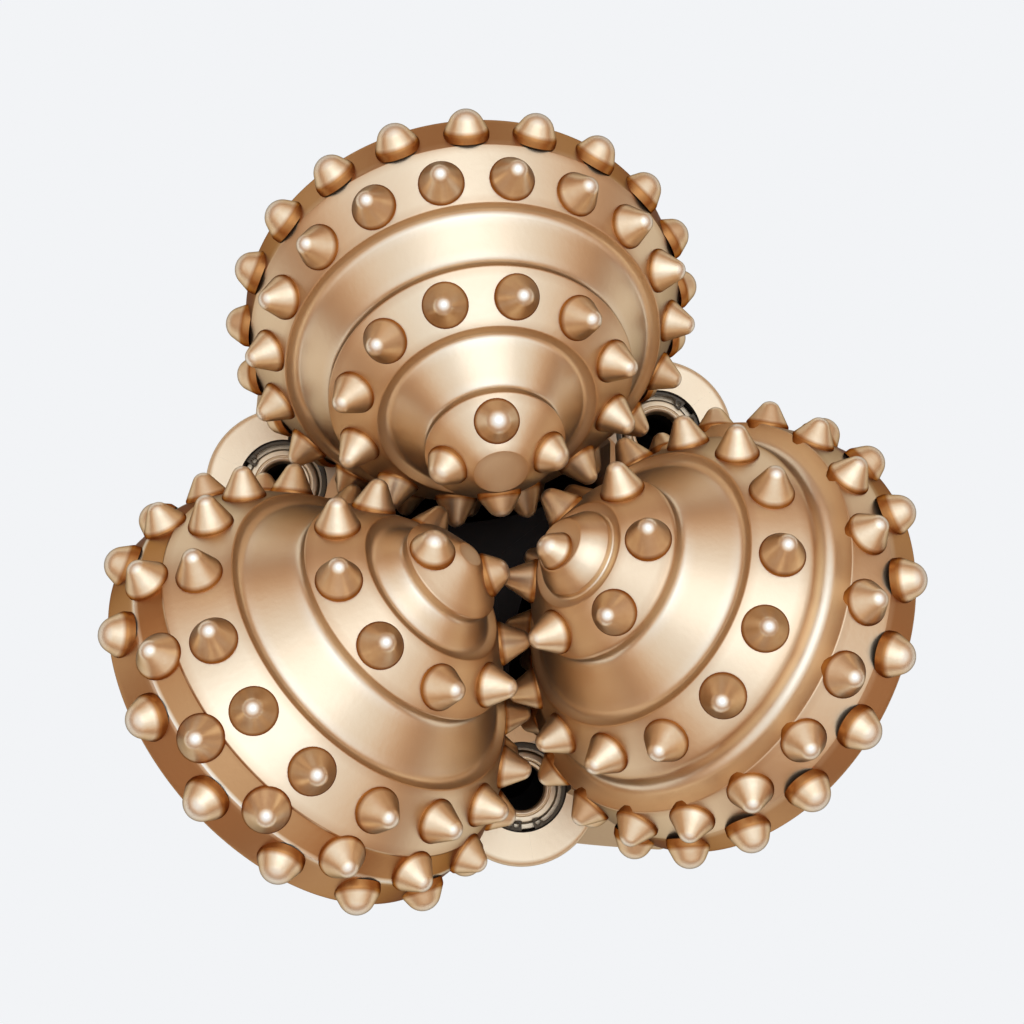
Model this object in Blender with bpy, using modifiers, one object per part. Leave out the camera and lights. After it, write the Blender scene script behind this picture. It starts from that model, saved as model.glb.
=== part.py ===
"""Tricone rock bit, 8-1/2 in, with tungsten carbide insert cones.

Metres, +Z up. The bit stands on its pin with the cones on top, and the origin is the centre of
the make-up shoulder. Three forged legs carry three cones on journals whose axes meet on the bit
axis. Sizes of a cone are given on its journal axis: "out" is the distance from the meeting point
of the axes, "radius" the distance from the journal axis. Cone rows are laid out along the mesh
line, which halves the angle between two neighbouring journal axes: "along" is the distance from
the meeting point on that line, and "height" is measured square to it, positive toward the
neighbouring cone.
"""

import math

import bmesh
import bpy
from mathutils import Matrix, Vector

MM = 0.001

# Driving dimensions of the bit
GAGE_RADIUS = 107.95 * MM
JOURNAL_TILT = math.radians(36.0)
LEG_COUNT = 3
FIRST_LEG_ANGLE = math.radians(90.0)
CLEARANCE = 0.3 * MM
RUNNING_CLEARANCE = 0.5 * MM
WELD_GAP = 0.3 * MM

# Rotary shouldered pin, 4-1/2 REG
PIN_LARGE_RADIUS = 58.74 * MM
PIN_LENGTH = 107.95 * MM
PIN_TAPER = 1.0 / 8.0
PIN_CHAMFER = 3.0 * MM
PIN_RELIEF_LENGTH = 12.0 * MM
PIN_RELIEF_RADIUS = 57.0 * MM
SHOULDER_BEVEL_RADIUS = 67.7 * MM
PIN_BORE_RADIUS = 24.0 * MM

# Body from the shoulder up to the dome between the legs
SHOULDER_BEVEL = 12.3 * MM
SHANK_RADIUS = SHOULDER_BEVEL_RADIUS + SHOULDER_BEVEL
SHANK_TOP = 22.0 * MM
WAIST_STEP = 4.0 * MM
WAIST_RADIUS = SHANK_RADIUS + WAIST_STEP
WAIST_FLARE = 12.0 * MM
WAIST_LENGTH = 24.0 * MM
WAIST_BOTTOM = SHANK_TOP + WAIST_FLARE
WAIST_TOP = WAIST_BOTTOM + WAIST_LENGTH
DOME_RADIUS = 62.0 * MM
DOME_FLANK = 34.0 * MM
DOME_EDGE = WAIST_TOP + DOME_FLANK
DOME_FLAT_RADIUS = 44.0 * MM
DOME_RISE = 12.0 * MM
DOME_TOP = DOME_EDGE + DOME_RISE

# Height at which the journal axes meet: the dome stands a little into the sphere of the gage
DOME_REACH = 5.95 * MM
APEX_HEIGHT = DOME_TOP + GAGE_RADIUS - DOME_REACH

# Outer face of a leg, just inside the gage, and its flare from the shank
LEG_RELIEF = 2.95 * MM
LEG_OUTER_RADIUS = GAGE_RADIUS - LEG_RELIEF
LEG_FLARE_RISE = 4.0 * MM
LEG_FLARE_BOTTOM = SHANK_TOP + LEG_FLARE_RISE
LEG_FLARE_BELOW_APEX = 122.0 * MM
LEG_FLARE_TOP = APEX_HEIGHT - LEG_FLARE_BELOW_APEX

# Fluid course
PLENUM_RADIUS = 34.0 * MM
PLENUM_TOP = 54.0 * MM
PLENUM_BOTTOM = 6.0 * MM
PLENUM_TAPER = 9.0 * MM

# Shirttail seen from outside
SHIRTTAIL_TOP_BELOW_APEX = 18.0 * MM
SHIRTTAIL_HALF_WIDTH = 54.0 * MM
SHIRTTAIL_RISE = 54.0 * MM
SHIRTTAIL_SKIRT_LENGTH = 38.0 * MM
ARM_SKIRT_HALF_WIDTH = 58.0 * MM
ARM_FOOT_HALF_WIDTH = 78.0 * MM
ARM_DEPTH = 59.0 * MM
ARM_ARC = 10

# Cone shell on its journal axis
BACKFACE_SETBACK = 18.35 * MM
BACKFACE_OUT = GAGE_RADIUS - BACKFACE_SETBACK
BACKFACE_CLEARANCE = 0.6 * MM
BACKFACE_RELIEF = 0.9 * MM
GAGE_CORNER_WIDTH = 2.1 * MM
GAGE_CORNER_OUT = BACKFACE_OUT - GAGE_CORNER_WIDTH
GAGE_CORNER_RELIEF = 0.4 * MM
GAGE_ROW_SETBACK = 5.6 * MM
GAGE_ROW_OUT = GAGE_CORNER_OUT - GAGE_ROW_SETBACK
GAGE_ROW_LEAN = math.radians(17.0)
SWEEP_CLEARANCE = 2.2 * MM
SWEEP_ALONG = 101.0
SWEEP_BACK_MARGIN = 3.4 * MM

# Journal and bearing
JOURNAL_RADIUS = 26.0 * MM
BUSHING_INNER_OUT = 61.0 * MM
JOURNAL_BASE_RADIUS = 30.0 * MM
JOURNAL_ROOT = 6.0 * MM
BUSHING_WALL = 2.6 * MM
BALL_RADIUS = 7.5 * MM
RACE_CLEARANCE = 0.9 * MM
BALL_PITCH_RADIUS = 21.6 * MM
BALL_OUT = 51.5 * MM
BALL_COUNT = 8
FLANGE_RADIUS = 20.5 * MM
FLANGE_OUT = 41.0 * MM
PILOT_RADIUS = 12.6 * MM
PILOT_INNER_OUT = 33.0 * MM
PILOT_CHAMFER = 1.0 * MM
BUTTON_RADIUS = 9.0 * MM
BUTTON_THICKNESS = 2.6 * MM
BUTTON_SEAT = 1.3 * MM
SEAL_SECTION = 2.3 * MM
SEAL_GLAND_DEPTH = 6.3 * MM
SEAL_GLAND_FLOOR = BACKFACE_OUT - SEAL_GLAND_DEPTH

# Inserts
INSERT_RADIUS = 6.1 * MM
INSERT_TIP_RADIUS = 3.0 * MM
INSERT_SEAT = 1.6 * MM
CUTTING_PROTRUSION = 8.5 * MM
HEEL_PROTRUSION = 7.0 * MM
TALL_HEEL_PROTRUSION = 8.0 * MM
NOSE_PROTRUSION = 6.0 * MM
GAGE_INSERT_RADIUS = 6.0 * MM
GAGE_INSERT_TIP_RADIUS = 3.8 * MM
CENTRE_INSERT_RADIUS = 5.2 * MM

# Nozzles
NOZZLE_SET_IN = 36.0 * MM
NOZZLE_RING_RADIUS = LEG_OUTER_RADIUS - NOZZLE_SET_IN
NOZZLE_SWEEP_GAP = 1.9 * MM
BOSS_RADIUS = 24.0 * MM
BOSS_CHAMFER = 1.5 * MM
BOSS_LENGTH = 48.0 * MM
BOSS_FOOT_RADIUS = 12.0 * MM
NOZZLE_RADIUS = 13.0 * MM
NOZZLE_LENGTH = 25.0 * MM
NOZZLE_EXIT_RADIUS = 6.35 * MM
NOZZLE_ENTRY_RADIUS = 10.0 * MM
NOZZLE_RECESS = 3.2 * MM
RING_GROOVE_RADIUS = 15.6 * MM
NOZZLE_FACE_HEIGHT = APEX_HEIGHT - math.sqrt(
    (GAGE_RADIUS + NOZZLE_SWEEP_GAP) ** 2 - (NOZZLE_RING_RADIUS - RING_GROOVE_RADIUS) ** 2
)
NOZZLE_RING_THICKNESS = 2.0 * MM
NOZZLE_RING_OVERLAP = 2.4 * MM
ORING_SECTION = 1.7 * MM
ORING_DEPTH = 12.0 * MM
PASSAGE_RADIUS = 10.5 * MM
PASSAGE_FOOT_RADIUS = 22.0 * MM
PASSAGE_FOOT_HEIGHT = 28.0 * MM

# Grease reservoir in each leg
RESERVOIR_HEIGHT = 52.0 * MM
RESERVOIR_TILT = math.radians(18.0)
RESERVOIR_RADIUS = 17.0 * MM
RESERVOIR_DEPTH = 30.0 * MM
RESERVOIR_SET_IN = 2.7 * MM
CAP_THICKNESS = 5.0 * MM
SNAP_RING_SECTION = 1.8 * MM
SNAP_RING_GROOVE = 1.6 * MM
DIAPHRAGM_DEPTH = 14.0 * MM
DIAPHRAGM_WALL = 1.6 * MM
DIAPHRAGM_FLANGE = 2.0 * MM
DIAPHRAGM_SEAT = 3.0 * MM
CAP_SETBACK = 1.0 * MM
CAP_DISH = 2.0 * MM
CAP_DISH_RADIUS = 11.0 * MM
SPOT_FACE_MARGIN = 3.0 * MM
GREASE_HOLE_RADIUS = 3.0 * MM
GREASE_MEETS_BALL_HOLE = 0.6

# Ball loading hole, from the leg's outer face to the ball race
BALL_HOLE_RADIUS = 8.3 * MM
BALL_HOLE_SLOPE = math.radians(19.0)
BALL_HOLE_DROP = 18.5 * MM
BALL_PLUG_RECESS = 3.0 * MM
BALL_PLUG_NECK_RADIUS = 5.0 * MM
BALL_PLUG_HEAD = 18.0 * MM

# Facets of a turned piece
FINE = 30
COARSE = 18
SMALL = 12
BOSS_SIDES = 20
INSERT_SIDES = 5
SEAL_SIDES = 5
HALF_FACET = math.pi / SMALL

# Each cone from nose to gage, laid out in mm for the gage of an 8-1/2 in bit. A land is
# (along, height) at its inner and outer edge, a row sits on one of the lands, and "first" is
# the angle of its first insert in degrees
LAYOUT_UNIT = GAGE_RADIUS / 107.95
CONES = (
    {
        "lands": (
            ((17.5, -6.9), (32.7, -5.3)),
            ((49.9, -6.6), (65.4, -4.6)),
            ((82.1, -6.2), (97.9, -9.6)),
        ),
        "rows": (
            {"along": 25.4, "land": 0, "count": 4, "first": 90.6, "kind": "nose"},
            {"along": 57.6, "land": 1, "count": 12, "first": 75.6, "kind": "cutting"},
            {"along": 88.6, "land": 2, "count": 19, "first": 84.3, "kind": "tall_heel"},
        ),
        "gage_count": 21,
        "gage_first": 92.9,
    },
    {
        "lands": (
            ((14.0, -8.6), (27.3, -5.6)),
            ((38.2, -5.4), (53.6, -4.3)),
            ((72.2, -4.4), (90.1, -5.9)),
            ((90.6, -6.3), (97.9, -8.9)),
        ),
        "rows": (
            {"along": 21.1, "land": 0, "count": 2, "first": 131.8, "kind": "nose"},
            {"along": 46.4, "land": 1, "count": 9, "first": 160.2, "kind": "cutting"},
            {"along": 80.6, "land": 2, "count": 16, "first": 113.8, "kind": "cutting"},
            {"along": 94.4, "land": 3, "count": 16, "first": 161.2, "kind": "heel"},
        ),
        "gage_count": 16,
        "gage_first": 150.0,
    },
    {
        "lands": (
            ((17.7, -6.8), (25.0, -7.8)),
            ((28.0, -6.4), (42.8, -4.6)),
            ((61.5, -4.6), (78.0, -5.6)),
            ((87.4, -4.9), (98.6, -10.9)),
        ),
        "rows": (
            {"along": 35.2, "land": 1, "count": 6, "first": 66.2, "kind": "cutting"},
            {"along": 69.6, "land": 2, "count": 14, "first": 16.7, "kind": "cutting"},
            {"along": 92.2, "land": 3, "count": 19, "first": 1.6, "kind": "heel"},
        ),
        "gage_count": 19,
        "gage_first": 30.1,
        "centre_insert": 2.0,
        "centre_angle": 175.0,
    },
)
GROOVE_DEPTH = 2.9
GROOVE_WALL = 1.6
SHALLOW_GROOVE_DEPTH = 1.2
CORNER_GAP = 1.0
PROTRUSION = {
    "nose": NOSE_PROTRUSION,
    "cutting": CUTTING_PROTRUSION,
    "heel": HEEL_PROTRUSION,
    "tall_heel": TALL_HEEL_PROTRUSION,
}

# Half the angle between two neighbouring journal axes
MESH_ANGLE = 0.5 * math.acos(
    math.sin(JOURNAL_TILT) ** 2
    + math.cos(math.radians(360.0 / LEG_COUNT)) * math.cos(JOURNAL_TILT) ** 2
)


def clear_scene():
    for obj in list(bpy.data.objects):
        bpy.data.objects.remove(obj, do_unlink=True)


def make_collection(name):
    collection = bpy.data.collections.new(name)
    bpy.context.scene.collection.children.link(collection)
    return collection


def make_material(name, colour, metallic, roughness):
    material = bpy.data.materials.new(name)
    material.use_nodes = True
    shader = material.node_tree.nodes["Principled BSDF"]
    shader.inputs["Base Color"].default_value = (*colour, 1.0)
    shader.inputs["Metallic"].default_value = metallic
    shader.inputs["Roughness"].default_value = roughness
    return material


def add_object(name, mesh, collection, material=None, parent=None):
    obj = bpy.data.objects.new(name, mesh)
    collection.objects.link(obj)
    if material:
        mesh.materials.append(material)
    if parent:
        obj.parent = parent
    return obj


def as_cutter(obj):
    obj.hide_render = True
    obj.display_type = "WIRE"
    return obj


def turned(name, outline, collection, steps, material=None, parent=None, closed=False):
    """A piece turned about local Z. The outline is (radius, z), down its outer side."""
    mesh = bpy.data.meshes.new(name)
    points = [(radius, 0.0, z) for radius, z in outline]
    edges = [(i, i + 1) for i in range(len(points) - 1)]
    if closed:
        edges.append((len(points) - 1, 0))
    mesh.from_pydata(points, edges, [])
    obj = add_object(name, mesh, collection, material, parent)
    screw = obj.modifiers.new("Turn", "SCREW")
    screw.steps = screw.render_steps = steps
    screw.use_merge_vertices = True
    screw.merge_threshold = 0.00005
    screw.use_smooth_shade = True
    return obj


def boolean(obj, operation, other):
    modifier = obj.modifiers.new(operation.title(), "BOOLEAN")
    modifier.operation = operation
    modifier.object = other
    modifier.solver = "EXACT"
    return modifier


def cylinder(name, radius, low, high, collection, sides=COARSE):
    """A cylinder on local Z from low to high."""
    mesh = bpy.data.meshes.new(name)
    shape = bmesh.new()
    bmesh.ops.create_cone(
        shape, cap_ends=True, segments=sides, radius1=radius, radius2=radius, depth=high - low
    )
    bmesh.ops.translate(shape, verts=shape.verts, vec=(0.0, 0.0, 0.5 * (low + high)))
    shape.to_mesh(mesh)
    shape.free()
    return add_object(name, mesh, collection)


def slab(name, outline, low, high, collection):
    """A flat outline in local XY, raised from low to high on local Z."""
    curve = bpy.data.curves.new(name, "CURVE")
    curve.dimensions = "2D"
    curve.fill_mode = "BOTH"
    curve.extrude = 0.5 * (high - low)
    spline = curve.splines.new("POLY")
    spline.points.add(len(outline) - 1)
    for point, (x, y) in zip(spline.points, outline):
        point.co = (x, y, 0.0, 1.0)
    spline.use_cyclic_u = True
    guide = bpy.data.objects.new(name, curve)
    bpy.context.scene.collection.objects.link(guide)
    evaluated = guide.evaluated_get(bpy.context.evaluated_depsgraph_get())
    mesh = bpy.data.meshes.new_from_object(evaluated)
    bpy.data.objects.remove(guide, do_unlink=True)
    shape = bmesh.new()
    shape.from_mesh(mesh)
    bmesh.ops.remove_doubles(shape, verts=shape.verts, dist=0.00001)
    bmesh.ops.translate(shape, verts=shape.verts, vec=(0.0, 0.0, 0.5 * (low + high)))
    bmesh.ops.recalc_face_normals(shape, faces=shape.faces)
    shape.to_mesh(mesh)
    shape.free()
    return add_object(name, mesh, collection)


def arc(centre, radius, start, end, count):
    """Points on an arc, angles in degrees, in the plane of the outline."""
    points = []
    for i in range(count + 1):
        angle = math.radians(start + (end - start) * i / count)
        points.append((centre[0] + radius * math.cos(angle), centre[1] + radius * math.sin(angle)))
    return points


def ring_outline(radius, section, z, count):
    """A round section about local Z, its outer side running down."""
    return arc((radius, z), section, 180.0, -180.0, count)[:-1]


def on_axis(along, height):
    """(radius, out) on the journal axis of a point given from the mesh line, in mm."""
    out = along * math.cos(MESH_ANGLE) - height * math.sin(MESH_ANGLE)
    radius = along * math.sin(MESH_ANGLE) + height * math.cos(MESH_ANGLE)
    return radius * LAYOUT_UNIT, out * LAYOUT_UNIT


def journal_frame(index, collection):
    """An empty whose local Z runs out along a journal axis, from the point where the axes meet."""
    frame = bpy.data.objects.new(f"journal_axis_{index + 1}", None)
    collection.objects.link(frame)
    frame.location = (0.0, 0.0, APEX_HEIGHT)
    frame.rotation_euler = (0.0, math.radians(90.0) + JOURNAL_TILT, leg_angle(index))
    return frame


def leg_angle(index):
    return FIRST_LEG_ANGLE + math.radians(360.0 / LEG_COUNT) * index


def land_point(cone, row):
    """Where an insert row stands on its land and which way it points, as (out, radius)."""
    inner, outer = cone["lands"][row["land"]]
    share = (row["along"] - inner[0]) / (outer[0] - inner[0])
    radius, out = on_axis(row["along"], inner[1] + share * (outer[1] - inner[1]))
    inner_radius, inner_out = on_axis(*inner)
    outer_radius, outer_out = on_axis(*outer)
    side = Vector((outer_out - inner_out, outer_radius - inner_radius)).normalized()
    return Vector((out, radius)), Vector((-side.y, side.x)), PROTRUSION[row["kind"]]


def inside_gage(out, relief):
    """The radius, at this place on the journal axis, that stays this far inside the gage."""
    return (GAGE_RADIUS - relief - out * math.cos(JOURNAL_TILT)) / math.sin(JOURNAL_TILT)


def gage_point(cone):
    """Where the gage row stands, which way it points, and the protrusion that reaches the gage."""
    inner_radius, inner_out = on_axis(*cone["lands"][-1][1])
    share = (GAGE_ROW_OUT - inner_out) / (GAGE_CORNER_OUT - inner_out)
    corner_radius = inside_gage(GAGE_CORNER_OUT, GAGE_CORNER_RELIEF)
    base = Vector((GAGE_ROW_OUT, inner_radius + share * (corner_radius - inner_radius)))
    direction = Vector((math.sin(GAGE_ROW_LEAN), math.cos(GAGE_ROW_LEAN)))
    reach = base.dot(direction)
    protrusion = math.sqrt(reach**2 + GAGE_RADIUS**2 - base.length_squared) - reach
    return base, direction, protrusion


def groove(inner, outer):
    """The floor of the groove between two lands, as (along, height) points."""
    width = outer[0] - inner[0]
    if width < CORNER_GAP:
        return []
    if width < 3.0 * GROOVE_WALL:
        return [(0.5 * (inner[0] + outer[0]), min(inner[1], outer[1]) - SHALLOW_GROOVE_DEPTH)]
    return [
        (inner[0] + GROOVE_WALL, inner[1] - GROOVE_DEPTH),
        (outer[0] - GROOVE_WALL, outer[1] - GROOVE_DEPTH),
    ]


def cone_skin(cone):
    """(radius, out) down the outside of a cone, from its back face to its nose."""
    inward = []
    lands = cone["lands"]
    for index, (inner, outer) in enumerate(lands):
        inward += [on_axis(*inner), on_axis(*outer)]
        if index + 1 < len(lands):
            inward += [on_axis(*point) for point in groove(outer, lands[index + 1][0])]
    nose_out = inward[0][1]
    skin = [
        (inside_gage(BACKFACE_OUT, BACKFACE_RELIEF), BACKFACE_OUT),
        (inside_gage(GAGE_CORNER_OUT, GAGE_CORNER_RELIEF), GAGE_CORNER_OUT),
    ]
    return skin + inward[::-1] + [(0.0, nose_out)]


def race_arc(start, end, count=6):
    """The section of the ball race, angles in degrees from the outward radius."""
    return arc((BALL_PITCH_RADIUS, BALL_OUT), BALL_RADIUS + RACE_CLEARANCE, start, end, count)


def race_angle(radius):
    """The angle at which the race section crosses a radius."""
    return math.degrees(math.acos((radius - BALL_PITCH_RADIUS) / (BALL_RADIUS + RACE_CLEARANCE)))


def add_insert(shape, base, direction, angle, root_radius, tip_radius, protrusion):
    """One insert, its root let into the cone, as a tapered prism in the mesh of all inserts."""
    height = protrusion + INSERT_SEAT
    made = bmesh.ops.create_cone(
        shape,
        cap_ends=True,
        segments=INSERT_SIDES,
        radius1=root_radius,
        radius2=tip_radius,
        depth=height,
    )
    tilt = math.atan2(direction.y, direction.x)
    centre = base + direction * (0.5 * height - INSERT_SEAT)
    place = (
        Matrix.Rotation(angle, 4, "Z")
        @ Matrix.Translation((centre.y, 0.0, centre.x))
        @ Matrix.Rotation(tilt, 4, "Y")
    )
    bmesh.ops.transform(shape, matrix=place, verts=made["verts"])


def row_angles(first, count):
    """Angles of a row about the journal axis, from the local X axis of its frame."""
    return [math.radians(first + 90.0 + 360.0 * i / count) for i in range(count)]


def insert_rows(name, cone, collection, frame):
    """All the inserts of a cone as one mesh, to be joined to its shell."""
    shape = bmesh.new()
    for row in cone["rows"]:
        base, direction, protrusion = land_point(cone, row)
        for angle in row_angles(row["first"], row["count"]):
            add_insert(
                shape, base, direction, angle, INSERT_RADIUS, INSERT_TIP_RADIUS, protrusion
            )
    base, direction, protrusion = gage_point(cone)
    for angle in row_angles(cone["gage_first"], cone["gage_count"]):
        add_insert(
            shape, base, direction, angle, GAGE_INSERT_RADIUS, GAGE_INSERT_TIP_RADIUS, protrusion
        )
    if "centre_insert" in cone:
        nose_out = on_axis(*cone["lands"][0][0])[1]
        base = Vector((nose_out, cone["centre_insert"] * LAYOUT_UNIT))
        angle = math.radians(cone["centre_angle"] + 90.0)
        add_insert(
            shape,
            base,
            Vector((-1.0, 0.0)),
            angle,
            CENTRE_INSERT_RADIUS,
            INSERT_TIP_RADIUS,
            NOSE_PROTRUSION,
        )
    mesh = bpy.data.meshes.new(name)
    shape.to_mesh(mesh)
    shape.free()
    return as_cutter(add_object(name, mesh, collection, parent=frame))


def make_cone(index, cone, parts, helpers, frame, material):
    """The shell, turned on the journal axis with its bearing bores, and the inserts in it."""
    seat_floor = PILOT_INNER_OUT - CLEARANCE - BUTTON_THICKNESS - CLEARANCE
    pilot_floor = seat_floor + BUTTON_SEAT + CLEARANCE
    pilot_bore = PILOT_RADIUS + RUNNING_CLEARANCE
    flange_bore = FLANGE_RADIUS + RUNNING_CLEARANCE
    journal_bore = JOURNAL_RADIUS + RUNNING_CLEARANCE
    bushing_bore = journal_bore + BUSHING_WALL + CLEARANCE
    bore = [
        (0.0, seat_floor),
        (BUTTON_RADIUS + CLEARANCE, seat_floor),
        (BUTTON_RADIUS + CLEARANCE, pilot_floor),
        (pilot_bore, pilot_floor),
        (pilot_bore, FLANGE_OUT - CLEARANCE),
        (flange_bore, FLANGE_OUT - CLEARANCE),
        *race_arc(-race_angle(flange_bore), race_angle(journal_bore)),
        (journal_bore, BUSHING_INNER_OUT - CLEARANCE),
        (bushing_bore, BUSHING_INNER_OUT - CLEARANCE),
        (bushing_bore, SEAL_GLAND_FLOOR),
        (gland_radius(), SEAL_GLAND_FLOOR),
        (gland_radius(), BACKFACE_OUT),
    ]
    name = f"cone_{index + 1}"
    obj = turned(name, bore + cone_skin(cone), parts, COARSE, material, frame)
    boolean(obj, "UNION", insert_rows(f"inserts_{index + 1}", cone, helpers, frame))
    return obj


def gland_radius():
    return JOURNAL_BASE_RADIUS + RUNNING_CLEARANCE + 2.0 * SEAL_SECTION + CLEARANCE


def make_bearing(index, parts, frame, materials):
    """What turns with a cone or between it and the journal, all about local Z of the frame."""
    inner = JOURNAL_RADIUS + RUNNING_CLEARANCE
    outer = inner + BUSHING_WALL
    top = SEAL_GLAND_FLOOR - CLEARANCE
    turned(
        f"journal_bushing_{index + 1}",
        [(outer, top), (outer, BUSHING_INNER_OUT), (inner, BUSHING_INNER_OUT), (inner, top)],
        parts,
        COARSE,
        materials["bushing"],
        frame,
        closed=True,
    )
    seal_radius = JOURNAL_BASE_RADIUS + RUNNING_CLEARANCE + SEAL_SECTION
    seal_out = 0.5 * (SEAL_GLAND_FLOOR + BACKFACE_OUT)
    turned(
        f"journal_seal_{index + 1}",
        ring_outline(seal_radius, SEAL_SECTION, seal_out, SEAL_SIDES),
        parts,
        COARSE,
        materials["rubber"],
        frame,
        closed=True,
    )
    top = PILOT_INNER_OUT - CLEARANCE
    low = top - BUTTON_THICKNESS
    turned(
        f"thrust_button_{index + 1}",
        [(0.0, top), (BUTTON_RADIUS, top), (BUTTON_RADIUS, low), (0.0, low)],
        parts,
        COARSE,
        materials["steel"],
        frame,
    )
    for number in range(BALL_COUNT):
        angle = math.radians(360.0 / BALL_COUNT * (number + 0.5))
        mesh = bpy.data.meshes.new("ball")
        shape = bmesh.new()
        bmesh.ops.create_uvsphere(shape, u_segments=6, v_segments=4, radius=BALL_RADIUS)
        shape.to_mesh(mesh)
        shape.free()
        name = f"race_ball_{index + 1}_{number + 1}"
        ball = add_object(name, mesh, parts, materials["steel"], frame)
        ball.location = (
            BALL_PITCH_RADIUS * math.cos(angle),
            BALL_PITCH_RADIUS * math.sin(angle),
            BALL_OUT,
        )


def body_outline():
    """(radius, z) down the outside of the body between the legs and of the pin."""
    pin_end_radius = PIN_LARGE_RADIUS - PIN_TAPER * PIN_LENGTH
    thread_start = PIN_LARGE_RADIUS - PIN_TAPER * PIN_RELIEF_LENGTH
    return [
        (0.0, DOME_TOP),
        (DOME_FLAT_RADIUS, DOME_TOP),
        (DOME_RADIUS, DOME_EDGE),
        (WAIST_RADIUS, WAIST_TOP),
        (WAIST_RADIUS, WAIST_BOTTOM),
        (SHANK_RADIUS, SHANK_TOP),
        (SHANK_RADIUS, SHOULDER_BEVEL),
        (SHOULDER_BEVEL_RADIUS, 0.0),
        (PIN_RELIEF_RADIUS, 0.0),
        (PIN_RELIEF_RADIUS, PIN_CHAMFER - PIN_RELIEF_LENGTH),
        (thread_start, -PIN_RELIEF_LENGTH),
        (pin_end_radius + PIN_TAPER * PIN_CHAMFER, PIN_CHAMFER - PIN_LENGTH),
        (pin_end_radius - PIN_CHAMFER, -PIN_LENGTH),
        (0.0, -PIN_LENGTH),
    ]


def arm_outline():
    """(tangent, z) of a leg seen from outside, from its foot up one side and over the shirttail."""
    centre = APEX_HEIGHT - SHIRTTAIL_TOP_BELOW_APEX - SHIRTTAIL_RISE
    top = []
    for x, z in arc((0.0, 0.0), 1.0, 0.0, 180.0, ARM_ARC):
        top.append((x * SHIRTTAIL_HALF_WIDTH, centre + z * SHIRTTAIL_RISE))
    skirt = [
        (ARM_FOOT_HALF_WIDTH, LEG_FLARE_BOTTOM),
        (ARM_SKIRT_HALF_WIDTH, centre - SHIRTTAIL_SKIRT_LENGTH),
    ]
    return skirt + top + [(-x, z) for x, z in skirt[::-1]]


def leg_wedge(helpers):
    """A third of the circle about the bit axis, less half the weld gap on each face."""
    half = math.radians(180.0 / LEG_COUNT)
    tip = 0.5 * WELD_GAP / math.sin(half)
    reach = 3.0 * GAGE_RADIUS
    corners = [
        (tip, 0.0),
        (tip + reach * math.cos(half), -reach * math.sin(half)),
        (tip + reach * math.cos(half), reach * math.sin(half)),
    ]
    return as_cutter(slab("leg_wedge", corners, -2.0 * PIN_LENGTH, 1.5 * APEX_HEIGHT, helpers))


def point_along(obj, start, end):
    """Turn an object so that its local Z runs from start to end, and put it at start."""
    direction = (Vector(end) - Vector(start)).normalized()
    obj.location = start
    obj.rotation_mode = "QUATERNION"
    obj.rotation_quaternion = direction.to_track_quat("Z", "Y")
    return obj


def drilled(name, radius, start, end, helpers, sides=SMALL):
    """A hole's cutter between two points."""
    length = (Vector(end) - Vector(start)).length
    return as_cutter(point_along(cylinder(name, radius, 0.0, length, helpers, sides), start, end))


def on_journal(obj, angle=0.0):
    """Put a cutter on the journal axis of the leg at this angle."""
    obj.location = (0.0, 0.0, APEX_HEIGHT)
    obj.rotation_euler = (0.0, math.radians(90.0) + JOURNAL_TILT, angle)
    return as_cutter(obj)


def sweep_cutter(helpers):
    """The space that the leg's own cone takes as it turns, with its clearance."""
    far = on_axis(SWEEP_ALONG, SWEEP_CLEARANCE / LAYOUT_UNIT)
    back = BACKFACE_OUT + BACKFACE_CLEARANCE
    rim = math.sqrt((GAGE_RADIUS + SWEEP_CLEARANCE) ** 2 - far[0] ** 2)
    corner = inside_gage(GAGE_CORNER_OUT, GAGE_CORNER_RELIEF) + SWEEP_BACK_MARGIN
    outline = [(0.0, back), (corner, back), (far[0], rim), far, (0.0, 0.0)]
    return on_journal(turned("cone_sweep", outline, helpers, FINE))


def journal_solid(helpers):
    """The journal with its ball race and pilot pin, let into the arm behind it."""
    base_out = SEAL_GLAND_FLOOR + CLEARANCE
    outline = [
        (0.0, BACKFACE_OUT + JOURNAL_ROOT),
        (JOURNAL_BASE_RADIUS, BACKFACE_OUT + JOURNAL_ROOT),
        (JOURNAL_BASE_RADIUS, base_out),
        (JOURNAL_RADIUS, base_out),
        *race_arc(race_angle(JOURNAL_RADIUS), 360.0 - race_angle(FLANGE_RADIUS)),
        (FLANGE_RADIUS, FLANGE_OUT),
        (PILOT_RADIUS, FLANGE_OUT),
        (PILOT_RADIUS, PILOT_INNER_OUT + PILOT_CHAMFER),
        (PILOT_RADIUS - PILOT_CHAMFER, PILOT_INNER_OUT),
        (0.0, PILOT_INNER_OUT),
    ]
    return on_journal(turned("journal", outline, helpers, COARSE))


def from_journal(out, drop):
    """A point in the leg's own plane, from its place on the journal axis and below it."""
    x = out * math.cos(JOURNAL_TILT) - drop * math.sin(JOURNAL_TILT)
    z = APEX_HEIGHT - out * math.sin(JOURNAL_TILT) - drop * math.cos(JOURNAL_TILT)
    return Vector((x, 0.0, z))


def ball_hole_line():
    """Where the ball hole meets the race, and where it comes out of the leg."""
    start = from_journal(BALL_OUT, BALL_HOLE_DROP)
    run = from_journal(BALL_OUT + MM, BALL_HOLE_DROP - MM * math.tan(BALL_HOLE_SLOPE)) - start
    end = start + run * ((LEG_OUTER_RADIUS - start.x) / run.x)
    return start, end


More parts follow.
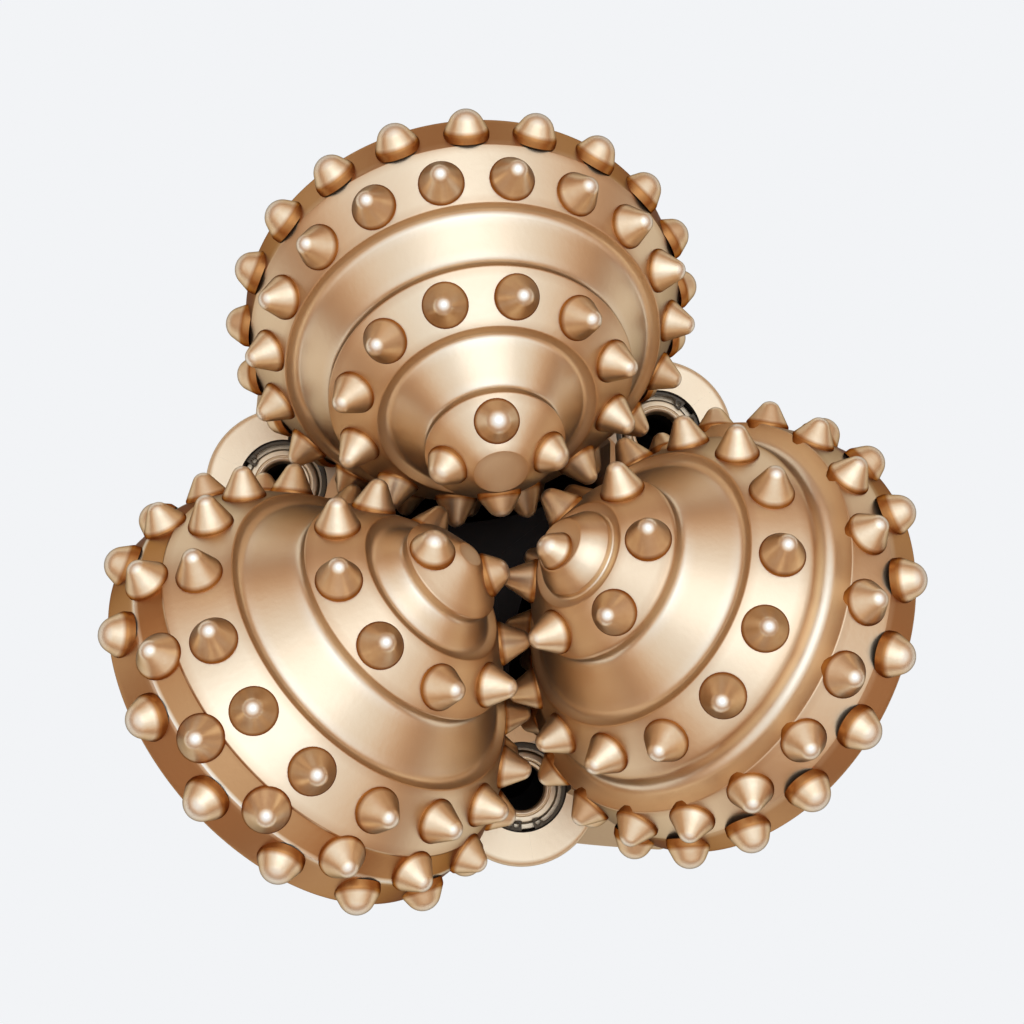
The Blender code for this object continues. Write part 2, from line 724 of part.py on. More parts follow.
def reservoir_line():
    """The centre of the reservoir's face on the leg, and its direction outward."""
    share = (RESERVOIR_HEIGHT - LEG_FLARE_BOTTOM) / (LEG_FLARE_TOP - LEG_FLARE_BOTTOM)
    radius = SHANK_RADIUS + share * (LEG_OUTER_RADIUS - SHANK_RADIUS) - RESERVOIR_SET_IN
    face = Vector((radius, 0.0, RESERVOIR_HEIGHT))
    outward = Vector((math.cos(RESERVOIR_TILT), 0.0, -math.sin(RESERVOIR_TILT)))
    return face, outward


def around(point, angle):
    """A point turned about the bit axis."""
    return Matrix.Rotation(angle, 3, "Z") @ Vector(point)


def fluid_cutters(helpers):
    """The bore, the plenum and, on each seam, the passage and the pocket of a nozzle."""
    course = [
        (0.0, PLENUM_TOP),
        (PLENUM_RADIUS - PLENUM_TAPER, PLENUM_TOP),
        (PLENUM_RADIUS, PLENUM_TOP - PLENUM_TAPER),
        (PLENUM_RADIUS, PLENUM_BOTTOM + PLENUM_TAPER),
        (PIN_BORE_RADIUS, PLENUM_BOTTOM),
        (PIN_BORE_RADIUS, -2.0 * PIN_LENGTH),
        (0.0, -2.0 * PIN_LENGTH),
    ]
    cutters = [as_cutter(turned("fluid_course", course, helpers, COARSE))]
    seat = NOZZLE_FACE_HEIGHT - NOZZLE_RECESS - NOZZLE_LENGTH - CLEARANCE
    for side in (-1, 1):
        angle = side * math.radians(180.0 / LEG_COUNT)
        foot = around((PASSAGE_FOOT_RADIUS, 0.0, PASSAGE_FOOT_HEIGHT), angle)
        elbow = around((NOZZLE_RING_RADIUS, 0.0, seat - PASSAGE_RADIUS), angle)
        cutters.append(drilled(f"passage_{side}", PASSAGE_RADIUS, foot, elbow, helpers))
        pocket = turned(f"nozzle_pocket_{side}", pocket_outline(seat), helpers, SMALL)
        pocket.location = around((NOZZLE_RING_RADIUS, 0.0, 0.0), angle)
        pocket.rotation_euler.z = angle + HALF_FACET
        cutters.append(as_cutter(pocket))
    return cutters


def pocket_outline(seat):
    """(radius, z) of a nozzle's pocket with its two ring grooves, down its outer side."""
    wall = NOZZLE_RADIUS + CLEARANCE
    ring_low = NOZZLE_FACE_HEIGHT - NOZZLE_RECESS
    ring_high = ring_low + NOZZLE_RING_THICKNESS + 2.0 * CLEARANCE
    oring_z = oring_height()
    oring_wall = wall + 2.0 * ORING_SECTION
    half = ORING_SECTION + CLEARANCE
    above = NOZZLE_FACE_HEIGHT + BOSS_RADIUS
    return [
        (0.0, above),
        (wall, above),
        (wall, ring_high),
        (RING_GROOVE_RADIUS, ring_high),
        (RING_GROOVE_RADIUS, ring_low),
        (wall, ring_low),
        (wall, oring_z + half),
        (oring_wall, oring_z + half),
        (oring_wall, oring_z - half),
        (wall, oring_z - half),
        (wall, seat),
        (PASSAGE_RADIUS, seat),
        (PASSAGE_RADIUS, seat - 2.0 * PASSAGE_RADIUS),
        (0.0, seat - 2.0 * PASSAGE_RADIUS),
    ]


def oring_height():
    return NOZZLE_FACE_HEIGHT - NOZZLE_RECESS - ORING_DEPTH


def reservoir_cutter(helpers):
    """The reservoir's pocket with its seat, its ring groove and its spot face."""
    seat = -CAP_THICKNESS - SNAP_RING_SECTION - CAP_SETBACK - DIAPHRAGM_FLANGE - 3.0 * CLEARANCE
    groove_low = -CAP_SETBACK - SNAP_RING_SECTION - CLEARANCE
    outline = [
        (0.0, RESERVOIR_DEPTH),
        (RESERVOIR_RADIUS + SPOT_FACE_MARGIN, RESERVOIR_DEPTH),
        (RESERVOIR_RADIUS + SPOT_FACE_MARGIN, 0.0),
        (RESERVOIR_RADIUS, 0.0),
        (RESERVOIR_RADIUS, -CAP_SETBACK),
        (RESERVOIR_RADIUS + SNAP_RING_GROOVE, -CAP_SETBACK),
        (RESERVOIR_RADIUS + SNAP_RING_GROOVE, groove_low),
        (RESERVOIR_RADIUS, groove_low),
        (RESERVOIR_RADIUS, seat),
        (RESERVOIR_RADIUS - DIAPHRAGM_SEAT, seat),
        (RESERVOIR_RADIUS - DIAPHRAGM_SEAT, -RESERVOIR_DEPTH),
        (0.0, -RESERVOIR_DEPTH),
    ]
    face, outward = reservoir_line()
    obj = turned("reservoir_pocket", outline, helpers, SMALL)
    return as_cutter(point_along(obj, face, face + outward))


def leg_solid(helpers):
    """One leg at angle zero, as the first object of the chain of Booleans that shapes it."""
    leg = turned("leg_shape", body_outline(), helpers, FINE)
    envelope = [
        (0.0, APEX_HEIGHT),
        (LEG_OUTER_RADIUS, APEX_HEIGHT),
        (LEG_OUTER_RADIUS, LEG_FLARE_TOP),
        (SHANK_RADIUS, LEG_FLARE_BOTTOM),
        (0.0, LEG_FLARE_BOTTOM),
    ]
    inner = LEG_OUTER_RADIUS - ARM_DEPTH
    arm = slab("arm_shape", arm_outline(), inner, 2.0 * GAGE_RADIUS, helpers)
    arm.rotation_euler = (math.radians(90.0), 0.0, math.radians(90.0))
    boolean(arm, "INTERSECT", as_cutter(turned("leg_envelope", envelope, helpers, FINE)))
    boolean(leg, "UNION", as_cutter(arm))
    for side in (-1, 1):
        angle = side * math.radians(180.0 / LEG_COUNT)
        rim = BOSS_RADIUS - BOSS_CHAMFER
        outline = [
            (0.0, NOZZLE_FACE_HEIGHT),
            (rim, NOZZLE_FACE_HEIGHT),
            (BOSS_RADIUS, NOZZLE_FACE_HEIGHT - BOSS_CHAMFER),
            (BOSS_RADIUS, NOZZLE_FACE_HEIGHT - BOSS_LENGTH),
            (BOSS_FOOT_RADIUS, WAIST_BOTTOM),
            (0.0, WAIST_BOTTOM),
        ]
        boss = turned(f"nozzle_boss_{side}", outline, helpers, BOSS_SIDES)
        boss.location = around((NOZZLE_RING_RADIUS, 0.0, 0.0), angle)
        boss.rotation_euler.z = angle
        boolean(leg, "UNION", as_cutter(boss))
    boolean(leg, "INTERSECT", leg_wedge(helpers))
    boolean(leg, "DIFFERENCE", sweep_cutter(helpers))
    boolean(leg, "UNION", journal_solid(helpers))
    for cutter in fluid_cutters(helpers):
        boolean(leg, "DIFFERENCE", cutter)
    boolean(leg, "DIFFERENCE", reservoir_cutter(helpers))
    start, end = ball_hole_line()
    face, outward = reservoir_line()
    floor = face - outward * (RESERVOIR_DEPTH - 2.0 * GREASE_HOLE_RADIUS)
    meet = start + (end - start) * GREASE_MEETS_BALL_HOLE
    grease_hole = drilled("grease_hole", GREASE_HOLE_RADIUS, floor, meet, helpers, 8)
    boolean(leg, "DIFFERENCE", grease_hole)
    beyond = end + (end - start).normalized() * BALL_HOLE_RADIUS
    ball_hole = drilled("ball_hole", BALL_HOLE_RADIUS, start, beyond, helpers, SMALL)
    boolean(leg, "DIFFERENCE", ball_hole)
    return as_cutter(leg)


def make_legs(parts, helpers, material):
    """Three copies of the one leg, each turned to its place about the bit axis."""
    shape = leg_solid(helpers)
    bpy.context.view_layer.update()
    evaluated = shape.evaluated_get(bpy.context.evaluated_depsgraph_get())
    mesh = bpy.data.meshes.new_from_object(evaluated)
    mesh.name = "leg"
    mesh.materials.clear()
    mesh.materials.append(material)
    for index in range(LEG_COUNT):
        leg = add_object(f"leg_{index + 1}", mesh, parts)
        leg.rotation_euler.z = leg_angle(index)


def make_ball_plug(index, parts, helpers, material):
    """The plug that keeps the balls in: a spool whose inner end carries on the race."""
    start, end = ball_hole_line()
    length = (end - start).length - BALL_PLUG_RECESS
    radius = BALL_HOLE_RADIUS - CLEARANCE
    outline = [
        (0.0, length),
        (radius, length),
        (radius, length - radius),
        (BALL_PLUG_NECK_RADIUS, length - 1.5 * radius),
        (BALL_PLUG_NECK_RADIUS, BALL_PLUG_HEAD + 0.5 * radius),
        (radius, BALL_PLUG_HEAD),
        (radius, 0.0),
        (0.0, 0.0),
    ]
    obj = turned(f"ball_plug_{index + 1}", outline, parts, SMALL, material)
    point_along(obj, around(start, leg_angle(index)), around(end, leg_angle(index)))
    race = [
        (point[0], point[1])
        for point in ring_outline(
            BALL_PITCH_RADIUS, BALL_RADIUS + RACE_CLEARANCE, BALL_OUT, SMALL
        )
    ]
    cutter = turned(f"race_cutter_{index + 1}", race, helpers, COARSE, closed=True)
    boolean(obj, "DIFFERENCE", on_journal(cutter, leg_angle(index)))


def make_nozzle(index, parts, materials):
    """A nozzle in its pocket on a seam, with its seal ring and the ring that keeps it in."""
    angle = leg_angle(index) + math.radians(180.0 / LEG_COUNT)
    place = around((NOZZLE_RING_RADIUS, 0.0, 0.0), angle)
    top = NOZZLE_FACE_HEIGHT - NOZZLE_RECESS - CLEARANCE
    low = top - NOZZLE_LENGTH + CLEARANCE
    nozzle = [
        (NOZZLE_RADIUS, top),
        (NOZZLE_RADIUS, low),
        (NOZZLE_ENTRY_RADIUS, low),
        (NOZZLE_EXIT_RADIUS, top - 0.4 * NOZZLE_LENGTH),
        (NOZZLE_EXIT_RADIUS, top),
    ]
    ring_low = top + 2.0 * CLEARANCE
    ring_high = ring_low + NOZZLE_RING_THICKNESS
    ring_outer = RING_GROOVE_RADIUS - CLEARANCE
    ring_inner = NOZZLE_RADIUS - NOZZLE_RING_OVERLAP
    ring = [
        (ring_outer, ring_high),
        (ring_outer, ring_low),
        (ring_inner, ring_low),
        (ring_inner, ring_high),
    ]
    seal_radius = NOZZLE_RADIUS + CLEARANCE + ORING_SECTION
    seal = ring_outline(seal_radius, ORING_SECTION - 0.5 * CLEARANCE, oring_height(), SEAL_SIDES)
    for name, outline, material in (
        ("nozzle", nozzle, "carbide"),
        ("nozzle_retaining_ring", ring, "steel"),
        ("nozzle_seal", seal, "rubber"),
    ):
        name = f"{name}_{index + 1}"
        obj = turned(name, outline, parts, SMALL, materials[material], closed=True)
        obj.location = place
        obj.rotation_euler.z = angle + HALF_FACET


def make_reservoir(index, parts, materials):
    """The rubber diaphragm, its cover cap and the snap ring in a leg's grease reservoir."""
    face, outward = reservoir_line()
    snap_high = -CAP_SETBACK - 0.5 * CLEARANCE
    snap_low = snap_high - SNAP_RING_SECTION
    cap_high = -CAP_SETBACK - SNAP_RING_SECTION - 2.0 * CLEARANCE
    cap_low = cap_high - CAP_THICKNESS
    radius = RESERVOIR_RADIUS - CLEARANCE
    snap_outer = RESERVOIR_RADIUS + SNAP_RING_GROOVE - CLEARANCE
    snap_inner = RESERVOIR_RADIUS - SNAP_RING_SECTION
    snap = [
        (snap_outer, snap_high),
        (snap_outer, snap_low),
        (snap_inner, snap_low),
        (snap_inner, snap_high),
    ]
    cap = [
        (0.0, cap_high - CAP_DISH),
        (CAP_DISH_RADIUS - CAP_DISH, cap_high - CAP_DISH),
        (CAP_DISH_RADIUS, cap_high),
        (radius, cap_high),
        (radius, cap_low),
        (0.0, cap_low),
    ]
    flange_high = cap_low - 0.5 * CLEARANCE
    flange_low = flange_high - DIAPHRAGM_FLANGE
    cup_radius = RESERVOIR_RADIUS - DIAPHRAGM_SEAT - CLEARANCE
    cup_low = flange_high - DIAPHRAGM_DEPTH
    inside = cup_radius - DIAPHRAGM_WALL
    diaphragm = [
        (0.0, cup_low + DIAPHRAGM_WALL),
        (inside - DIAPHRAGM_WALL, cup_low + DIAPHRAGM_WALL),
        (inside, cup_low + 3.0 * DIAPHRAGM_WALL),
        (inside, flange_high),
        (radius, flange_high),
        (radius, flange_low),
        (cup_radius, flange_low),
        (cup_radius, cup_low + 2.0 * DIAPHRAGM_WALL),
        (cup_radius - 2.0 * DIAPHRAGM_WALL, cup_low),
        (0.0, cup_low),
    ]
    for name, outline, material, closed in (
        ("reservoir_snap_ring", snap, "steel", True),
        ("reservoir_cap", cap, "steel", False),
        ("reservoir_diaphragm", diaphragm, "rubber", False),
    ):
        name = f"{name}_{index + 1}"
        obj = turned(name, outline, parts, SMALL, materials[material], closed=closed)
        start = around(face, leg_angle(index))
        point_along(obj, start, start + around(outward, leg_angle(index)))


def build():
    clear_scene()
    parts = make_collection("tricone_drill_bit")
    helpers = make_collection("cutters")
    materials = {
        "gold": make_material("gold_paint", (0.60, 0.37, 0.15), 0.55, 0.38),
        "cone": make_material("cone_gold_paint", (0.62, 0.39, 0.17), 0.6, 0.34),
        "steel": make_material("bearing_steel", (0.56, 0.57, 0.58), 1.0, 0.25),
        "bushing": make_material("bearing_bronze", (0.55, 0.35, 0.16), 1.0, 0.35),
        "carbide": make_material("nozzle_carbide", (0.38, 0.37, 0.36), 0.9, 0.3),
        "rubber": make_material("seal_rubber", (0.03, 0.03, 0.03), 0.0, 0.6),
    }
    make_legs(parts, helpers, materials["gold"])
    for index, cone in enumerate(CONES):
        frame = journal_frame(index, parts)
        make_cone(index, cone, parts, helpers, frame, materials["cone"])
        make_bearing(index, parts, frame, materials)
        make_ball_plug(index, parts, helpers, materials["steel"])
        make_nozzle(index, parts, materials)
        make_reservoir(index, parts, materials)
    bpy.context.view_layer.update()


build()
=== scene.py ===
import math
import random

import bmesh
import bpy
from mathutils import Matrix, Vector


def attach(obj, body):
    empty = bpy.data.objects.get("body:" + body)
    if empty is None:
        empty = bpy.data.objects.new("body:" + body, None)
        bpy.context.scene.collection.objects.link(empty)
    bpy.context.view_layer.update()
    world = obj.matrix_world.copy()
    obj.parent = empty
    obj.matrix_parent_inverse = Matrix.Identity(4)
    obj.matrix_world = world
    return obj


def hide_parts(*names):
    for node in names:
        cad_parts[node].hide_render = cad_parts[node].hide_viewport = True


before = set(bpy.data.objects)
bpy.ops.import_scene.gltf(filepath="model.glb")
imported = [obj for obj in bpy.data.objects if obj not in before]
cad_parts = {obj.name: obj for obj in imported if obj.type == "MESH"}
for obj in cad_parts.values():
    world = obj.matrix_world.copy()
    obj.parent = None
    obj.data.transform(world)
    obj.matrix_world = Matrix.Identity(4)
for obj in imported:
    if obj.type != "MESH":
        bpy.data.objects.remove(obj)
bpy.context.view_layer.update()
mm = 0.001
print("frame loaded:", len(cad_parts), "nodes")


# the bit's own layout: all three journal axes meet at the apex
layout = dict(apex=206.0, tilt=36.0, firstAngle=90.0, gageRadius=107.95)
tilt = math.radians(layout["tilt"])
apex = Vector((0, 0, layout["apex"] * mm))
meshAngle = 0.5 * math.acos(math.sin(tilt) ** 2 - 0.5 * math.cos(tilt) ** 2)


def legAngle(index):
    return math.radians(layout["firstAngle"] + 120.0 * index)


def journalPlace(index):
    turn = Matrix.Rotation(legAngle(index), 4, "Z") @ Matrix.Rotation(math.radians(90) + tilt, 4, "Y")
    return Matrix.Translation(apex) @ turn


def fromMeshLine(along, height):
    # (radius, out) on a journal axis, in mm, of a point laid out from the mesh line
    out = along * math.cos(meshAngle) - height * math.sin(meshAngle)
    radius = along * math.sin(meshAngle) + height * math.cos(meshAngle)
    return Vector((radius, out))


def rounded(corners):
    # corners are (x, y, fillet radius): each fillet becomes a short arc
    points = [Vector(c[:2]) for c in corners]
    last = len(points) - 1
    run = []
    for i, corner in enumerate(corners):
        radius = corner[2] if len(corner) > 2 else 0
        here = points[i]
        if radius <= 0 or i in (0, last):
            run.append(here)
            continue
        a, b = points[i - 1] - here, points[i + 1] - here
        half = 0.5 * a.angle(b, math.pi)
        if half > math.radians(89):
            run.append(here)
            continue
        reach = min(radius / math.tan(half), 0.45 * a.length, 0.45 * b.length)
        radius = reach * math.tan(half)
        a.normalize()
        b.normalize()
        centre = here + (a + b).normalized() * (radius / math.sin(half))
        start, end = here + a * reach - centre, here + b * reach - centre
        sweep = start.angle_signed(end)
        steps = max(2, int(abs(sweep) / math.radians(11)))
        for k in range(steps + 1):
            turn = -sweep * k / steps
            run.append(centre + Vector((start.x * math.cos(turn) - start.y * math.sin(turn),
                                        start.x * math.sin(turn) + start.y * math.cos(turn))))
    return run


def spaced(run, gap):
    # adds points so that no stretch is longer than the gap
    out = []
    for a, b in zip(run, run[1:]):
        steps = max(1, int(math.ceil((b - a).length / gap)))
        out += [a + (b - a) * (k / steps) for k in range(steps)]
    return out + [run[-1]]


def arc(centre, radius, start, sweep, steps):
    # points on a circle, from the start angle through the sweep
    angles = [start + sweep * k / steps for k in range(steps + 1)]
    return [(centre[0] + radius * math.cos(a), centre[1] + radius * math.sin(a)) for a in angles]


def evenTone(mesh):
    # the plain tone all over, for a piece whose profile gives none
    layer = mesh.attributes.get("tone") or mesh.attributes.new("tone", "FLOAT", "POINT")
    layer.data.foreach_set("value", [0.5] * len(mesh.vertices))


def newObject(name, shape, material=None, sharp=32, place=None):
    mesh = bpy.data.meshes.new(name)
    bmesh.ops.recalc_face_normals(shape, faces=shape.faces)
    shape.to_mesh(mesh)
    shape.free()
    if place is not None:
        mesh.transform(place)
    for face in mesh.polygons:
        face.use_smooth = True
    mesh.set_sharp_from_angle(angle=math.radians(sharp))
    if "tone" not in mesh.attributes:
        evenTone(mesh)
    obj = bpy.data.objects.new(name, mesh)
    bpy.context.scene.collection.objects.link(obj)
    if material:
        mesh.materials.append(material)
    return obj


def turnInto(shape, run, steps, closed=False, tones=None):
    # turns (radius, height) points in mm about local Z. A tone of 0.5 is the plain colour, more is a paler
    # painted highlight, less a browner painted shade
    tone = shape.verts.layers.float.get("tone") or shape.verts.layers.float.new("tone")
    rings = []
    for point in run:
        if abs(point[0]) < 1e-6:
            rings.append([shape.verts.new((0, 0, point[1] * mm))])
        else:
            rings.append([shape.verts.new((point[0] * mm * math.cos(math.tau * k / steps),
                                           point[0] * mm * math.sin(math.tau * k / steps),
                                           point[1] * mm)) for k in range(steps)])
    for ring, value in zip(rings, tones or [0.5] * len(rings)):
        for vert in ring:
            vert[tone] = value
    pairs = list(zip(rings, rings[1:]))
    if closed:
        pairs.append((rings[-1], rings[0]))
    for a, b in pairs:
        for k in range(steps):
            j = (k + 1) % steps
            if len(a) == 1 and len(b) > 1:
                shape.faces.new((a[0], b[k], b[j]))
            elif len(b) == 1 and len(a) > 1:
                shape.faces.new((a[k], b[0], a[j]))
            elif len(a) > 1:
                shape.faces.new((a[k], b[k], b[j], a[j]))


def turned(name, run, steps, material=None, closed=False, place=None, sharp=32, tones=None):
    shape = bmesh.new()
    turnInto(shape, run, steps, closed, tones)
    return newObject(name, shape, material, sharp, place)


def copiesOf(name, run, steps, places, material=None, sharp=40, tones=None):
    # one turned form repeated in many places, as one mesh
    shape = bmesh.new()
    for place in places:
        start = len(shape.verts)
        turnInto(shape, run, steps, tones=tones)
        shape.verts.ensure_lookup_table()
        bmesh.ops.transform(shape, matrix=place, verts=shape.verts[start:])
    return newObject(name, shape, material, sharp)


def boolean(obj, other, operation="DIFFERENCE"):
    # new faces keep the other piece's material
    modifier = obj.modifiers.new(operation.title(), "BOOLEAN")
    modifier.operation = operation
    modifier.object = other
    modifier.solver = "EXACT"
    modifier.material_mode = "TRANSFER"


def applied(obj, sharp=32):
    # keeps what the modifiers make as the object's own mesh
    bpy.context.view_layer.update()
    graph = bpy.context.evaluated_depsgraph_get()
    mesh = bpy.data.meshes.new_from_object(obj.evaluated_get(graph))
    obj.modifiers.clear()
    obj.data = mesh
    for face in mesh.polygons:
        face.use_smooth = True
    mesh.set_sharp_from_angle(angle=math.radians(sharp))
    evenTone(mesh)
    return obj


def flattened(obj):
    # flat faces shade flat, and only the rounded edges between them turn the light
    weighted = obj.modifiers.new("normals", "WEIGHTED_NORMAL")
    weighted.weight = 90
    weighted.keep_sharp = True


def drop(*objs):
    for obj in objs:
        bpy.data.objects.remove(obj, do_unlink=True)


class Wire:
    # one output of a node, so that shader maths reads as plain sums
    def __init__(self, tree, socket):
        self.tree, self.socket = tree, socket

    def beside(self, output):
        # another output of the same node
        return Wire(self.tree, self.socket.node.outputs[output])

    def sum(self, operation, other, flipped=False, clamp=False):
        node = self.tree.nodes.new("ShaderNodeMath")
        node.operation = operation
        node.use_clamp = clamp
        for place, value in zip((1, 0) if flipped else (0, 1), (self, other)):
            if isinstance(value, Wire):
                self.tree.links.new(value.socket, node.inputs[place])
            else:
                node.inputs[place].default_value = value
        return Wire(self.tree, node.outputs[0])

    def __add__(self, other):
        return self.sum("ADD", other)

    __radd__ = __add__

    def __sub__(self, other):
        return self.sum("SUBTRACT", other)

    def __rsub__(self, other):
        return self.sum("SUBTRACT", other, True)

    def __mul__(self, other):
        return self.sum("MULTIPLY", other)

    __rmul__ = __mul__

    def __pow__(self, other):
        return self.sum("POWER", other)

    def clamped(self):
        return self.sum("ADD", 0.0, clamp=True)


class Nodes:
    # adds nodes to a tree, each from its type, its settings and the values or links of its sockets
    def __init__(self, tree):
        self.tree = tree

    def plug(self, socket, value):
        if isinstance(value, Wire):
            self.tree.links.new(value.socket, socket)
        else:
            socket.default_value = value

    def node(self, kind, settings=None, sockets=None, output=0):
        node = self.tree.nodes.new("ShaderNode" + kind)
        for name, value in (settings or {}).items():
            if name == "stops":
                ramp = node.color_ramp.elements
                while len(ramp) < len(value):
                    ramp.new(0.5)
                for element, (spot, colour) in zip(ramp, value):
                    element.position = spot
                    element.color = (*colour, 1)
            else:
                setattr(node, name, value)
        for name, value in (sockets or {}).items():
            self.plug(node.inputs[name], value)
        return Wire(self.tree, node.outputs[output])


class Finish(Nodes):
    # a material with one Principled shader
    def __init__(self, name, **values):
        self.material = bpy.data.materials.new(name)
        self.material.use_nodes = True
        super().__init__(self.material.node_tree)
        self.shader = self.tree.nodes["Principled BSDF"]
        self.set(**values)

    def set(self, **values):
        for name, value in values.items():
            self.plug(self.shader.inputs[name.replace("_", " ")], value)

    def mix(self, amount, a, b):
        # colours by a mask: the mix node's colour sockets are its 6th and 7th
        a, b = [value if isinstance(value, Wire) else (*value, 1) for value in (a, b)]
        return self.node("Mix", dict(data_type="RGBA"), {0: amount, 6: a, 7: b}, output=2)

    def place(self):
        return self.node("TexCoord", output="Object")

    def noise(self, scale, detail):
        return self.node("TexNoise", sockets={"Vector": self.place(), "Scale": scale, "Detail": detail})

    def spread(self, value, low, high):
        # from 0 at the low value to 1 at the high one
        return self.node("MapRange", sockets={"Value": value, "From Min": low, "From Max": high})

    def bump(self, height, strength, distance):
        return self.node("Bump", sockets={"Height": height, "Strength": strength, "Distance": distance})


def goldPaint(name, look):
    # satin gold paint: cloudy colour, fine flake, with a painted highlight where the tone is high and painted
    # shade, browner, where it is low
    paint = Finish(name, Metallic=look["metallic"], Specular_Tint=(0.03, 0.01, 0.002, 1),
                   Coat_Weight=look["coat"], Coat_Roughness=look["coatRoughness"], Coat_IOR=look["coatIor"])
    clouds = paint.spread(paint.noise(look["cloudScale"], 4.0), 0.3, 0.7)
    flake = paint.noise(look["flakeScale"], 2.0)
    tone = paint.node("Attribute", dict(attribute_name="tone"), output="Fac")
    colour = paint.mix(clouds, look["colour"], look["cloudColour"])
    colour = paint.mix(paint.spread(tone, 0.5, 1.0), colour, look["paintedHighlightColour"])
    colour = paint.mix(paint.spread(tone, 0.5, 0.0), colour, look["paintedShadeColour"])
    if "throat" in look:
        # painted shade: near black in the middle, under the cones, where shade falls between them
        x = paint.node("SeparateXYZ", sockets={"Vector": paint.place()}, output="X")
        y = x.beside("Y")
        away = (x * x + y * y) ** 0.5 + (clouds - 0.5) * 0.003
        edge = paint.spread(away, look["throat"] + 0.003, look["throat"] - 0.003)
        colour = paint.mix(edge, colour, look["throatShadeColour"])
    fine = paint.spread(paint.noise(look["orangePeelScale"], 2.0), 0.2, 0.8)
    paint.set(Base_Color=colour,
              Roughness=look["roughness"] + (clouds - 0.5) * 0.05 + (flake - 0.5) * look["flakeRoughness"],
              Normal=paint.bump(fine + flake * 0.4, look["bump"], 0.0004))
    return paint.material


def bareMetal(name, look):
    # uncoated metal or rubber: a colour with darker smears and fine turning marks
    metal = Finish(name, Metallic=look["metallic"])
    smears = metal.spread(metal.noise(look["smearScale"], 5.0), 0.35, 0.7)
    marks = metal.noise(look["markScale"], 2.0)
    metal.set(Base_Color=metal.mix(smears, look["colour"], look["smearColour"]),
              Roughness=look["roughness"] + (smears - 0.5) * look["roughnessSpread"],
              Normal=metal.bump(marks, look["bump"], 0.0003))
    return metal.material


conePaint = goldPaint("coneGold", dict(
    colour=(0.87, 0.665, 0.43), cloudColour=(0.83, 0.60, 0.37), paintedHighlightColour=(0.97, 0.84, 0.66),
    paintedShadeColour=(0.50, 0.23, 0.075), cloudScale=30.0, flakeScale=2600.0, orangePeelScale=700.0,
    roughness=0.37, flakeRoughness=0.10, bump=0.05, metallic=1.0, coat=0.1, coatRoughness=0.45, coatIor=1.5))
insertPaint = goldPaint("insertGold", dict(
    colour=(0.92, 0.70, 0.45), cloudColour=(0.86, 0.61, 0.36), paintedHighlightColour=(0.97, 0.89, 0.76),
    paintedShadeColour=(0.46, 0.19, 0.055), cloudScale=260.0, flakeScale=3200.0, orangePeelScale=900.0,
    roughness=0.40, flakeRoughness=0.10, bump=0.06, metallic=1.0, coat=0.0, coatRoughness=0.4, coatIor=1.4))
legPaint = goldPaint("legGold", dict(
    colour=(0.86, 0.655, 0.415), cloudColour=(0.81, 0.585, 0.355), paintedHighlightColour=(0.92, 0.80, 0.60),
    paintedShadeColour=(0.38, 0.18, 0.07), cloudScale=24.0, flakeScale=2200.0, orangePeelScale=420.0,
    # the throat is painted shade, near black under the cones
    throat=0.0455, throatShadeColour=(0.012, 0.008, 0.005),
    roughness=0.42, flakeRoughness=0.08, bump=0.10, metallic=0.85, coat=0.15, coatRoughness=0.42, coatIor=1.6))
weldPaint = goldPaint("weldGold", dict(
    colour=(0.74, 0.54, 0.32), cloudColour=(0.62, 0.42, 0.22), paintedHighlightColour=(0.88, 0.74, 0.52),
    paintedShadeColour=(0.34, 0.16, 0.06), cloudScale=120.0, flakeScale=1800.0, orangePeelScale=900.0,
    roughness=0.46, flakeRoughness=0.12, bump=0.5, metallic=0.7, coat=0.2, coatRoughness=0.4, coatIor=1.5))
threadSteel = bareMetal("phosphatedSteel", dict(
    colour=(0.085, 0.080, 0.074), smearColour=(0.17, 0.145, 0.115), metallic=0.8,
    roughness=0.46, roughnessSpread=0.2, smearScale=55.0, markScale=1600.0, bump=0.25))
# bare steel in the bores, passages and holes, painted near black: partly its own dark colour, partly painted
# shade deep inside
innerSteel = bareMetal("bareSteelPaintedShade", dict(
    colour=(0.022, 0.017, 0.012), smearColour=(0.04, 0.028, 0.018), metallic=0.4,
    roughness=0.62, roughnessSpread=0.2, smearScale=70.0, markScale=900.0, bump=0.3))
brightSteel = bareMetal("groundSteel", dict(
    colour=(0.58, 0.57, 0.55), smearColour=(0.46, 0.44, 0.41), metallic=1.0,
    roughness=0.26, roughnessSpread=0.14, smearScale=90.0, markScale=2400.0, bump=0.06))
ringSteel = bareMetal("blackenedSteel", dict(
    colour=(0.060, 0.045, 0.030), smearColour=(0.12, 0.085, 0.05), metallic=0.8,
    roughness=0.42, roughnessSpread=0.2, smearScale=160.0, markScale=1900.0, bump=0.2))
bearingBronze = bareMetal("bearingBronze", dict(
    colour=(0.62, 0.36, 0.14), smearColour=(0.50, 0.27, 0.10), metallic=1.0,
    roughness=0.34, roughnessSpread=0.16, smearScale=110.0, markScale=1700.0, bump=0.1))
sealRubber = bareMetal("sealRubber", dict(
    colour=(0.022, 0.022, 0.023), smearColour=(0.040, 0.038, 0.036), metallic=0.0,
    roughness=0.58, roughnessSpread=0.16, smearScale=120.0, markScale=1400.0, bump=0.15))
print("materials made")


